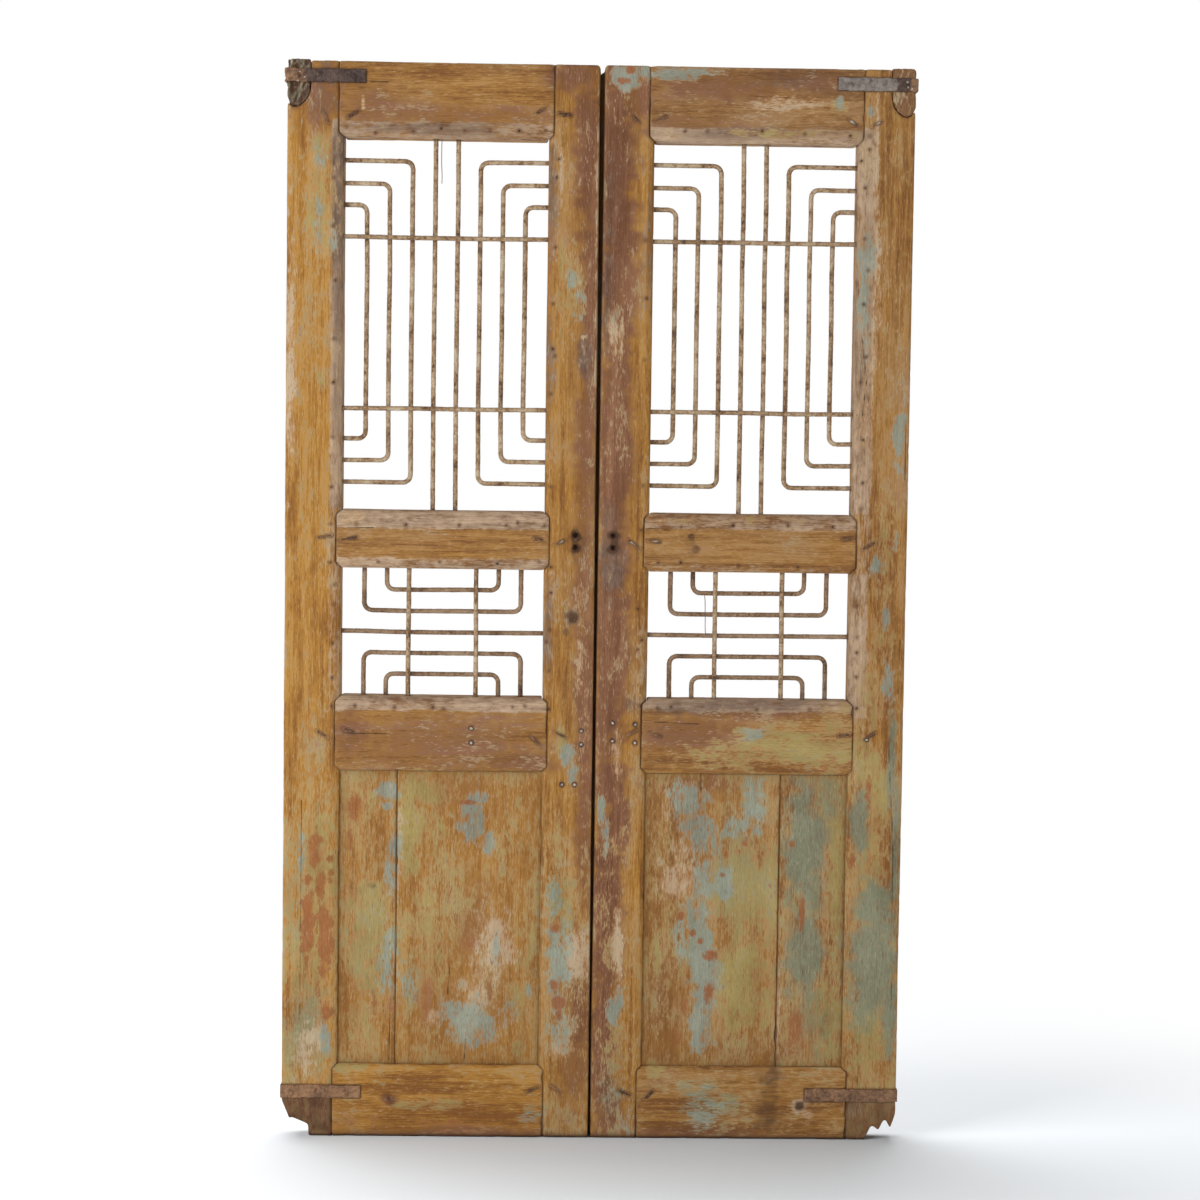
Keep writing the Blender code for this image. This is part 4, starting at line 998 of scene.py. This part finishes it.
def painted_hardwood(name, along, stain):
    """Stained hardwood under flaked paint. Its grain runs along one axis, and what is left of each coat
    follows the board's own numbers. The eye gets dull streaky brown, matt, with speckled edges where a coat
    runs out."""
    wood = bpy.context.scene.jali_wood
    material, tree = new_material(name)
    noise = wood_noise(tree, along)
    light, breakup, fleck = noise["light"], noise["breakup"], noise["fleck"]
    stains = [
        put(tree, "ValToRGB", {"Fac": light}, stops=list(zip((0.1, 0.5, 0.9), shades_of(wood, each))))
        for each in (stain, "brown")
    ]
    tone = add_shares(tree, stored(tree, "tone"), ((noise["drift"], 1.4),))
    shade = mix(tree, work_out(tree, "SUBTRACT", tone, 0.7, clamp=True), *stains)

    thickness = []
    for coat, (edge, vary, begin, full, most) in COATS.items():
        left = work_out(tree, "ADD", stored(tree, coat), noise[edge])
        left = spread(tree, left, begin, full, 0.0, most, interpolation_type="SMOOTHSTEP")
        tint = mix(tree, noise[vary], getattr(wood, f"{coat}_low"), getattr(wood, f"{coat}_high"))
        shade = mix(tree, left, shade, tint)
        if coat in THICK_COATS:
            thickness.append(left)

    # Pale and dark specks, a few millimetres across, where paint dust sits or a pore is open.
    for begin, full, most, tint in ((0.62, 0.74, 0.3, wood.pale_high), (0.38, 0.26, 0.35, wood.dark_high)):
        shade = mix(tree, spread(tree, fleck, begin, full, 0.0, most), shade, tint)
    worn = work_out(tree, "ADD", stored(tree, "arris"), breakup)
    shade = mix(tree, spread(tree, worn, 0.7, 1.2, 0.0, 0.5), shade, wood.arris)

    # Grime round tack holes; dark joints, darkening round nails and painted shade at the floor, along the
    # straps, at the grafts' edges and inside the gap; then the holes and cracks themselves, in whose colour
    # the deepest of that shade is drawn too.
    hole, nook = stored(tree, "hole"), stored(tree, "nook")
    stain_round = spread(tree, hole, 1 * MM, 6.5 * MM, 0.7, 0.0)
    grime = work_out(tree, "MAXIMUM", stain_round, spread(tree, nook, 0.0, 0.8, 0.0, 0.8))
    shade = mix(tree, grime, shade, wood.dark_high)
    crack = spread(tree, stored(tree, "crack"), 0.6 * MM, 1.6 * MM, 0.85, 0.0)
    pit = work_out(tree, "MAXIMUM", spread(tree, hole, 0.6 * MM, 2.2 * MM, 0.95, 0.0), crack)
    # The deepest of the painted shade at the floor and along the straps takes the crack colour too.
    pit = work_out(tree, "MAXIMUM", pit, spread(tree, nook, 0.6, 1.0, 0.0, 0.8))
    shade = mix(tree, pit, shade, wood.crack)

    thick = work_out(tree, "MAXIMUM", *thickness)
    height = add_shares(tree, noise["grain"], ((noise["streak"], 0.6), (thick, 0.35), (fleck, 0.3)))
    normal = put(tree, "Bump", {"Height": height, "Strength": 0.6, "Distance": 1.2 * MM})
    surface = matt_surface(tree, shade, spread(tree, light, to_low=0.85, to_high=0.6), 0.2, Normal=normal)
    put(tree, "OutputMaterial", {"Surface": surface})
    return material


def rusted_iron(name, shades, red, grit, places=(0.0, 0.5, 1.0)):
    """Forged iron under worn paint and rust. The eye gets a dull mottled tan and brown, with dark pits and
    pale rubbed spots a few millimetres across, and no shine. Rods keep numbers for painted shade on their
    flanks, and nails for a painted highlight on their crowns."""
    iron = bpy.context.scene.jali_iron
    material, tree = new_material(name)
    place = put(tree, "TexCoord", out="Object")
    noise = []
    for size, detail, roughness in ((3.2, 6.0, 0.66), (1, 3.0, 0.7), (14, 2.0, 0.5)):
        settings = {"Scale": 1000 / (size * grit), "Detail": detail, "Roughness": roughness}
        noise.append(put(tree, "TexNoise", {"Vector": place, **settings}))
    blotch, speck, drift = noise
    value = spread(tree, add_shares(tree, blotch, ((speck, 0.55), (drift, 0.6))), 0.85, 1.29)
    shade = put(tree, "ValToRGB", {"Fac": value}, stops=list(zip(places, shades)))

    # Each layer: stored number, where it starts and is whole, dark and light colour.
    layers = (
        ("rust", 0.75, 1.35, *red),
        ("scale", 0.7, 1.1, iron.scale_low, iron.scale_high),
        # The grime layer also carries painted shade on the rods' flanks.
        ("grime", 0.5, 1.4, shades[0], iron.strap),
        # The rubbed layer also carries the painted highlight on the nails' crowns.
        ("rubbed", 0.7, 1.2, iron.scale_high, iron.rubbed),
    )
    for layer, begin, full, low, high in layers:
        left = work_out(tree, "ADD", stored(tree, layer), blotch)
        shade = mix(tree, spread(tree, left, begin, full, 0.0, 0.9), shade, mix(tree, value, low, high))
    for begin, full, tint in ((0.6, 0.72, shades[-1]), (0.41, 0.3, shades[0])):
        shade = mix(tree, spread(tree, speck, begin, full, 0.0, 0.6), shade, tint)
    normal = put(tree, "Bump", {"Height": value, "Strength": 0.6, "Distance": 0.8 * MM})
    surface = matt_surface(tree, shade, spread(tree, value, to_low=0.85, to_high=0.55), 0.4, Normal=normal)
    put(tree, "OutputMaterial", {"Surface": surface})
    return material


def dress_iron(node, detail, sway, pitting, looks, material, slot):
    """Stand a rusted piece for a CAD rod or strap: even mesh, wandering line, and pits."""
    side = node.split("_")[0]
    piece = copy_of(node)
    fine_mesh(piece, detail)
    points, normals = read(piece.data, "co"), read(piece.data, "normal")
    x, z = points[:, 0], points[:, 2]
    pits = 0.6 * rough(points, 9 * MM, 21) + 0.5 * rough(points, 4 * MM, 22)
    swell = (0.2 if node.endswith("strap") else 0.5) * MM + pitting * pits
    drift = np.stack([rough(points, 0.11, 31 + axis) for axis in range(3)], 1) * sway
    drift[:, 1] *= 0.5
    if node == "left_top_strap":
        over_graft = np.clip((-HUNG_EDGE["left"] + 34 * MM - x) / (8 * MM), 0, 1)
        lumps = 0.4 * MM + 1.3 * MM * rough(points, 7 * MM, 61) + 0.7 * MM * rough(points, 3.5 * MM, 62)
        swell += over_graft * lumps
    if node.endswith("strap"):
        edge = np.clip(np.abs(z - (z.max() + z.min()) / 2) / (7 * MM) - 0.3, 0, 1)
        drift[:, 2] += bpy.context.scene.jali_iron.fray * edge * rough(points, 7 * MM, 64)
    shaped = points + normals * swell[:, None] + drift
    if node.endswith("foot_strap"):
        beyond = np.maximum(np.abs(shaped[:, 0]) - HUNG_EDGE[side], 0)
        shaped[:, 0] -= 0.5 * beyond * np.sign(shaped[:, 0])
    write(piece.data, shaped)
    finish_piece(piece, looks(node, side, points, normals), material, side, node)


def rod_looks(rust):
    """How rusty a rod is, with dirt where it enters the wood and painted shade darkening its flanks."""
    def looks(node, side, points, normals):
        boards = [f"{side}_{board}" for board in (*STILES, *RAILS)]
        entry = 0.8 * np.exp(-near_pieces(points, boards, 12 * MM) / (3 * MM))
        # Painted shade: the flanks that turn away from the front are darkened as if in shade; near the wood
        # it is dirt.
        return {"rust": rust, "grime": np.maximum(entry, 0.6 * (1 - np.abs(normals[:, 1])) ** 1.5)}

    return looks


def strap_looks(node, side, points, normals):
    """How a strap's rust, dirt, grey scale and lime lie along it."""
    rust, grime, scale = STRAP_LOOKS[node]
    plain_u, z = HUNG_EDGE[side] - np.abs(points[:, 0]), points[:, 2]
    u = plain_u + 4 * MM * rough(points, 8 * MM, 65)
    over_graft = np.clip((36 * MM - u) / (6 * MM), 0, 1)
    lime = near_marks(plain_u, z, LIME.get(node, ())) + 0.8 * MM * rough(points, 4 * MM, 63)
    looks = {"rust": rust, "grime": grime, "scale": scale, "rubbed": np.clip(1.3 - lime / (2 * MM), 0, 1)}
    if node == "left_top_strap":
        looks["rust"] = rust + 0.6 * over_graft
        looks["grime"] = grime * (1 - 0.8 * over_graft)
    elif node == "right_top_strap":
        end = np.clip((13 * MM - u) / (4 * MM), 0, 1)
        dents = hump(near_marks(u, z, STRAP_DENTS), 5 * MM)
        looks["rust"] = rust + 0.75 * end
        looks["grime"] = np.maximum(0.6 * (over_graft - end), 0.65 * dents)
        looks["scale"] = scale * (1 - over_graft)
    return looks


def place_copies(pattern, name, transforms, bright_from, material, side):
    """Copies of a modelled piece, each with its own mesh at its own place, and its crown painted pale from a
    share of its height upwards: rubbed iron and a painted highlight."""
    for count, (matrix, rubbed) in enumerate(transforms, 1):
        piece = bpy.data.objects.new(f"{side}_{name}_{count}", pattern.data.copy())
        height = -read(piece.data, "co")[:, 1]
        crown = np.clip((height / height.max() - bright_from) / (1 - bright_from), 0, 1)
        piece.data.transform(matrix)
        bpy.context.scene.collection.objects.link(piece)
        finish_piece(piece, {"rubbed": rubbed * crown}, material, side)


def on_front(side, u, z, y=FRONT):
    """A place on a leaf's front, from millimetres in from the hung edge and up."""
    return Vector((OUTWARD[side] * (HUNG_EDGE[side] - u * MM), y, z * MM))


def dress_boards(boards, material_name, along, stain, detail):
    """Stand worn boards of one kind for those of both leaves."""
    material = painted_hardwood(material_name, along, stain)
    for side in SIDES:
        for board in boards:
            dress_board(f"{side}_{board}", along, detail, material)


class JALI_OT_stiles(bpy.types.Operator):
    """Stand worn stiles for the CAD stiles"""

    bl_idname = "jali.stiles"
    bl_label = "Stiles"

    def execute(self, context):
        detail = context.scene.jali_wood.stile_detail
        dress_boards(STILES, "painted_hardwood_upright", UPRIGHT, "gold", detail)
        return {"FINISHED"}


class JALI_OT_rails(bpy.types.Operator):
    """Stand worn rails for the CAD rails"""

    bl_idname = "jali.rails"
    bl_label = "Rails"

    def execute(self, context):
        detail = context.scene.jali_wood.rail_detail
        dress_boards(RAILS, "painted_hardwood_level", LEVEL, "gold", detail)
        return {"FINISHED"}


class JALI_OT_planks(bpy.types.Operator):
    """Stand worn planks for the CAD panel planks"""

    bl_idname = "jali.planks"
    bl_label = "Panel planks"

    def execute(self, context):
        detail = context.scene.jali_wood.rail_detail
        dress_boards(PLANKS, "painted_hardwood_plank", UPRIGHT, "plank", detail)
        return {"FINISHED"}


class JALI_OT_grafts(bpy.types.Operator):
    """Stand worn grafts for the CAD pivot grafts"""

    bl_idname = "jali.grafts"
    bl_label = "Pivot grafts"

    def execute(self, context):
        detail = context.scene.jali_wood.graft_detail
        dress_boards((GRAFT,), "painted_hardwood_graft", UPRIGHT, "brown", detail)
        return {"FINISHED"}


class JALI_OT_rods(bpy.types.Operator):
    """Stand rusted rods for the CAD rods and bars of both grilles"""

    bl_idname = "jali.rods"
    bl_label = "Grille rods"

    def execute(self, context):
        iron = context.scene.jali_iron
        shades = (iron.rust_low, iron.rust, iron.rod_paint, iron.rod_high)
        red = (iron.rust_low, iron.red_rust)
        material = rusted_iron("painted_forged_rod", shades, red, 3.4, (0.0, 0.35, 0.62, 1.0))
        for side in SIDES:
            for rods, rust in ((UPPER_RODS, 0.0), (UPPER_BARS, 0.25), (LOWER_RODS, 0.05), (LOWER_BARS, 0.55)):
                for rod in rods:
                    sizes = (iron.rod_detail, iron.rod_sway, iron.pitting)
                    dress_iron(f"{side}_{rod}", *sizes, rod_looks(rust), material, "rod_iron")
        return {"FINISHED"}


class JALI_OT_straps(bpy.types.Operator):
    """Stand rusted straps for the CAD straps"""

    bl_idname = "jali.straps"
    bl_label = "Straps"

    def execute(self, context):
        iron = context.scene.jali_iron
        red = (iron.strap_red_low, iron.strap_red)
        material = rusted_iron("rusted_strap_iron", shades_of(iron, "strap"), red, 2.0)
        for strap in STRAP_LOOKS:
            dress_iron(strap, iron.strap_detail, 0.0, 1.7 * iron.pitting, strap_looks, material, "strap_iron")
        return {"FINISHED"}


class JALI_OT_dome_nails(bpy.types.Operator):
    """Drive the loose dome nails into the fronts"""

    bl_idname = "jali.dome_nails"
    bl_label = "Dome nails"

    def execute(self, context):
        iron = context.scene.jali_iron
        shades = (iron.strap_low, iron.rust_low, iron.rust)
        material = rusted_iron("rubbed_dome_nail", shades, (iron.rust_low, iron.red_rust), 1.2)
        bpy.ops.object.select_all(action="DESELECT")
        bpy.ops.mesh.primitive_uv_sphere_add(segments=20, ring_count=12, radius=iron.dome_radius)
        pattern = context.object
        bpy.ops.object.mode_set(mode="EDIT")
        bpy.ops.mesh.select_all(action="SELECT")
        bpy.ops.mesh.bisect(plane_co=(0, 0, 0), plane_no=(0, -1, 0), use_fill=True, clear_inner=True)
        bpy.ops.mesh.select_all(action="SELECT")
        bpy.ops.transform.resize(value=(1, iron.dome_height / iron.dome_radius, 1))
        bpy.ops.mesh.normals_make_consistent(inside=False)
        bpy.ops.object.mode_set(mode="OBJECT")
        bpy.ops.object.shade_smooth_by_angle(angle=math.radians(50))
        sunk = FRONT + 0.6 * MM
        for side in SIDES:
            # Painted highlight: each dome nail's crown, from 0.72 of its height up, is painted pale.
            places = [(Matrix.Translation(on_front(side, u, z, sunk)), 0.9) for u, z in DOMES[side]]
            place_copies(pattern, "dome_nail", places, 0.72, material, side)
        bpy.data.objects.remove(pattern)
        return {"FINISHED"}


class JALI_OT_clinched_nails(bpy.types.Operator):
    """Lay the bent-over nails into the fronts of the joints"""

    bl_idname = "jali.clinched_nails"
    bl_label = "Clinched nails"

    def execute(self, context):
        iron, wood = context.scene.jali_iron, context.scene.jali_wood
        shades = (wood.dark_low, wood.brown_low, wood.brown)
        red = (iron.rust_low, iron.red_rust)
        material = rusted_iron("painted_clinched_nail", shades, red, 2.4, (0.0, 0.45, 1.0))
        bpy.ops.object.select_all(action="DESELECT")
        bpy.ops.mesh.primitive_cylinder_add(vertices=10, radius=0.5, depth=1.0, rotation=(0, math.pi / 2, 0))
        pattern = context.object
        bpy.ops.object.transform_apply(location=True, rotation=True, scale=True)
        bpy.ops.object.mode_set(mode="EDIT")
        for cut in CLINCH_CUTS[1:-1]:
            bpy.ops.mesh.select_all(action="SELECT")
            bpy.ops.mesh.bisect(plane_co=(cut, 0, 0), plane_no=(1, 0, 0))
        bpy.ops.object.mode_set(mode="OBJECT")
        points = read(pattern.data, "co")
        slim = np.interp(points[:, 0], CLINCH_CUTS, CLINCH_WIDTHS)
        points[:, 1] = points[:, 1] * 0.5 * slim + np.interp(points[:, 0], *CLINCH_BEND)
        points[:, 2] *= slim
        write(pattern.data, points)
        bpy.ops.object.shade_smooth_by_angle(angle=math.radians(60))
        proud = Vector((0, -0.35 * MM, 0))
        for side in SIDES:
            places = []
            for u0, z0, u1, z1, rubbed in CLINCHED[side]:
                head, tip = on_front(side, u0, z0), on_front(side, u1, z1)
                run = tip - head
                turn = Matrix.Rotation(-math.atan2(run.z, run.x), 4, "Y")
                grow = Matrix.Diagonal((run.length, iron.clinch_width, iron.clinch_width, 1))
                places.append((Matrix.Translation((head + tip) / 2 + proud) @ turn @ grow, rubbed))
            # Painted highlight: each clinched nail's crown, from half its height up, is painted pale.
            place_copies(pattern, "clinched_nail", places, 0.5, material, side)
        bpy.data.objects.remove(pattern)
        return {"FINISHED"}


class JALI_OT_wires(bpy.types.Operator):
    """Hang the last wires of the lost screens in the openings"""

    bl_idname = "jali.wires"
    bl_label = "Screen wires"

    def execute(self, context):
        iron = context.scene.jali_iron
        shades = (iron.strap_low, iron.red_rust, iron.rod_paint)
        material = rusted_iron("rusted_screen_wire", shades, (iron.rust_low, iron.red_rust), 1.2)
        for side, name, path in WIRES:
            bpy.ops.object.select_all(action="DESELECT")
            bpy.ops.curve.primitive_nurbs_path_add()
            wire = context.object
            wire.name = f"{side}_{name}"
            line = wire.data.splines[0]
            line.points.add(max(0, len(path) - len(line.points)))
            for point, (u, y, z) in zip(line.points, path):
                point.co = (*on_front(side, u, z, y * MM), 1)
            wire.data.bevel_depth, wire.data.bevel_resolution = iron.wire_radius, 2
            wire.data.resolution_u, wire.data.use_fill_caps = 6, True
            bpy.ops.object.convert(target="MESH")
            bpy.ops.object.shade_smooth()
            finish_piece(context.object, {"rust": 0.4}, material, side)
        return {"FINISHED"}


class JALI_OT_pins(bpy.types.Operator):
    """Give the pivot pins their iron"""

    bl_idname = "jali.pins"
    bl_label = "Pivot pins"

    def execute(self, context):
        iron = context.scene.jali_iron
        red = (iron.strap_red_low, iron.strap_red)
        material = rusted_iron("rusted_pin_iron", shades_of(iron, "strap"), red, 1.8)
        for side in SIDES:
            for pin in PINS:
                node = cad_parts[f"{side}_{pin}"]
                node.data.materials.clear()
                node.data.materials.append(material)
        return {"FINISHED"}


class JALI_OT_stage(bpy.types.Operator):
    """Set the floor, the light and the camera"""

    bl_idname = "jali.stage"
    bl_label = "Stage"

    def execute(self, context):
        stage = context.scene.jali_stage
        bpy.ops.object.select_all(action="DESELECT")
        bpy.ops.mesh.primitive_grid_add(x_subdivisions=12, y_subdivisions=12, size=24)
        floor = context.object
        floor.name = "floor"
        floor.data.materials.append(pale_floor(stage))
        for name, (size, place, aim) in LAMPS.items():
            bpy.ops.object.light_add(type="AREA", location=place)
            lamp = context.object
            lamp.name = name
            lamp.data.shape, lamp.data.energy = "RECTANGLE", getattr(stage, name)
            lamp.data.size, lamp.data.size_y = size
            lamp.visible_camera = False
            lamp.rotation_euler = (Vector(aim) - lamp.location).to_track_quat("-Z", "Y").to_euler()
            lit = bpy.data.collections.new(f"lit_by_{name}")
            lit.objects.link(floor)
            if name in LAMPS_ON_DOORS:
                lit.collection_objects[0].light_linking.link_state = "EXCLUDE"
            lamp.light_linking.receiver_collection = lit
        studio_world(context.scene, stage)
        yaw, pitch = stage.camera_yaw, stage.camera_pitch
        level = math.cos(pitch)
        forward = Vector((math.sin(yaw) * level, math.cos(yaw) * level, math.sin(pitch)))
        right = Vector((math.cos(yaw), -math.sin(yaw), 0))
        up = right.cross(forward)
        turn = Matrix.Rotation(stage.camera_roll, 3, -forward)
        bpy.ops.object.camera_add(location=stage.camera_place)
        camera = context.object
        camera.rotation_euler = Matrix((turn @ right, turn @ up, -forward)).transposed().to_euler()
        camera.data.sensor_width, camera.data.lens = 36, stage.lens
        context.scene.camera = camera
        context.scene.view_settings.view_transform = "Standard"
        return {"FINISHED"}


def pale_floor(stage):
    """Matt pale studio floor. It takes the doors' shadow near them, and runs out to the white background."""
    material, tree = new_material("matt_studio_floor")
    place = put(tree, "TexCoord", out="Object")
    grit = put(tree, "TexNoise", {"Vector": place, "Scale": 40.0, "Detail": 2.0})
    surface = matt_surface(tree, stage.floor, spread(tree, grit, to_low=0.85, to_high=0.95), 0.1)
    axes = put(tree, "SeparateXYZ", {0: place}).node.outputs
    beside = work_out(tree, "SUBTRACT", work_out(tree, "ABSOLUTE", axes["X"]), 0.5)
    beside = work_out(tree, "MAXIMUM", beside, 0.0)
    away = put(tree, "CombineXYZ", {"X": beside, "Y": axes["Y"]})
    away = put(tree, "VectorMath", {0: away}, out="Value", operation="LENGTH")
    fade = spread(tree, away, 0.3, 1.3, interpolation_type="SMOOTHSTEP")
    fade = work_out(tree, "MULTIPLY", fade, put(tree, "LightPath", out="Is Camera Ray"))
    white = put(tree, "Emission", {"Color": stage.white, "Strength": 1.0})
    surface = put(tree, "MixShader", {0: fade, 1: surface, 2: white})
    put(tree, "OutputMaterial", {"Surface": surface})
    return material


def studio_world(scene, stage):
    """Even light from all around, white to the camera, to reflections and through clear things."""
    world = bpy.data.worlds.new("studio")
    world.use_nodes = True
    tree = world.node_tree
    tree.nodes.clear()
    rays = put(tree, "LightPath").node.outputs
    seen = work_out(tree, "ADD", rays["Is Camera Ray"], rays["Is Glossy Ray"])
    seen = work_out(tree, "ADD", seen, rays["Is Transmission Ray"], clamp=True)
    strength = spread(tree, seen, to_low=stage.world)
    light = put(tree, "Background", {"Color": stage.white, "Strength": strength})
    put(tree, "OutputWorld", {"Surface": light})
    scene.world = world


class JALI_PT_panel(bpy.types.Panel):
    """Lists the pieces, with their sizes and colours"""

    bl_idname = "JALI_PT_panel"
    bl_label = "Jali doors"
    bl_space_type = "VIEW_3D"
    bl_region_type = "UI"
    bl_category = "Jali doors"

    def draw(self, context):
        for operator in OPERATORS:
            self.layout.operator(operator.bl_idname)
        for group in (context.scene.jali_wood, context.scene.jali_iron, context.scene.jali_stage):
            box = self.layout.box()
            for name in group.__annotations__:
                box.prop(group, name)


OPERATORS = (
    JALI_OT_stiles, JALI_OT_rails, JALI_OT_planks, JALI_OT_grafts, JALI_OT_rods, JALI_OT_straps,
    JALI_OT_dome_nails, JALI_OT_clinched_nails, JALI_OT_wires, JALI_OT_pins, JALI_OT_stage,
)
CLASSES = (JaliWood, JaliIron, JaliStage, *OPERATORS, JALI_PT_panel)


def register():
    for cls in CLASSES:
        bpy.utils.register_class(cls)
    bpy.types.Scene.jali_wood = bpy.props.PointerProperty(type=JaliWood)
    bpy.types.Scene.jali_iron = bpy.props.PointerProperty(type=JaliIron)
    bpy.types.Scene.jali_stage = bpy.props.PointerProperty(type=JaliStage)


def unregister():
    del bpy.types.Scene.jali_stage
    del bpy.types.Scene.jali_iron
    del bpy.types.Scene.jali_wood
    for cls in reversed(CLASSES):
        bpy.utils.unregister_class(cls)


def main():
    register()
    bpy.ops.jali.stiles()
    bpy.ops.jali.rails()
    bpy.ops.jali.planks()
    bpy.ops.jali.grafts()
    bpy.ops.jali.rods()
    bpy.ops.jali.straps()
    bpy.ops.jali.dome_nails()
    bpy.ops.jali.clinched_nails()
    bpy.ops.jali.wires()
    bpy.ops.jali.pins()
    bpy.ops.jali.stage()


if __name__ == "__main__":
    main()
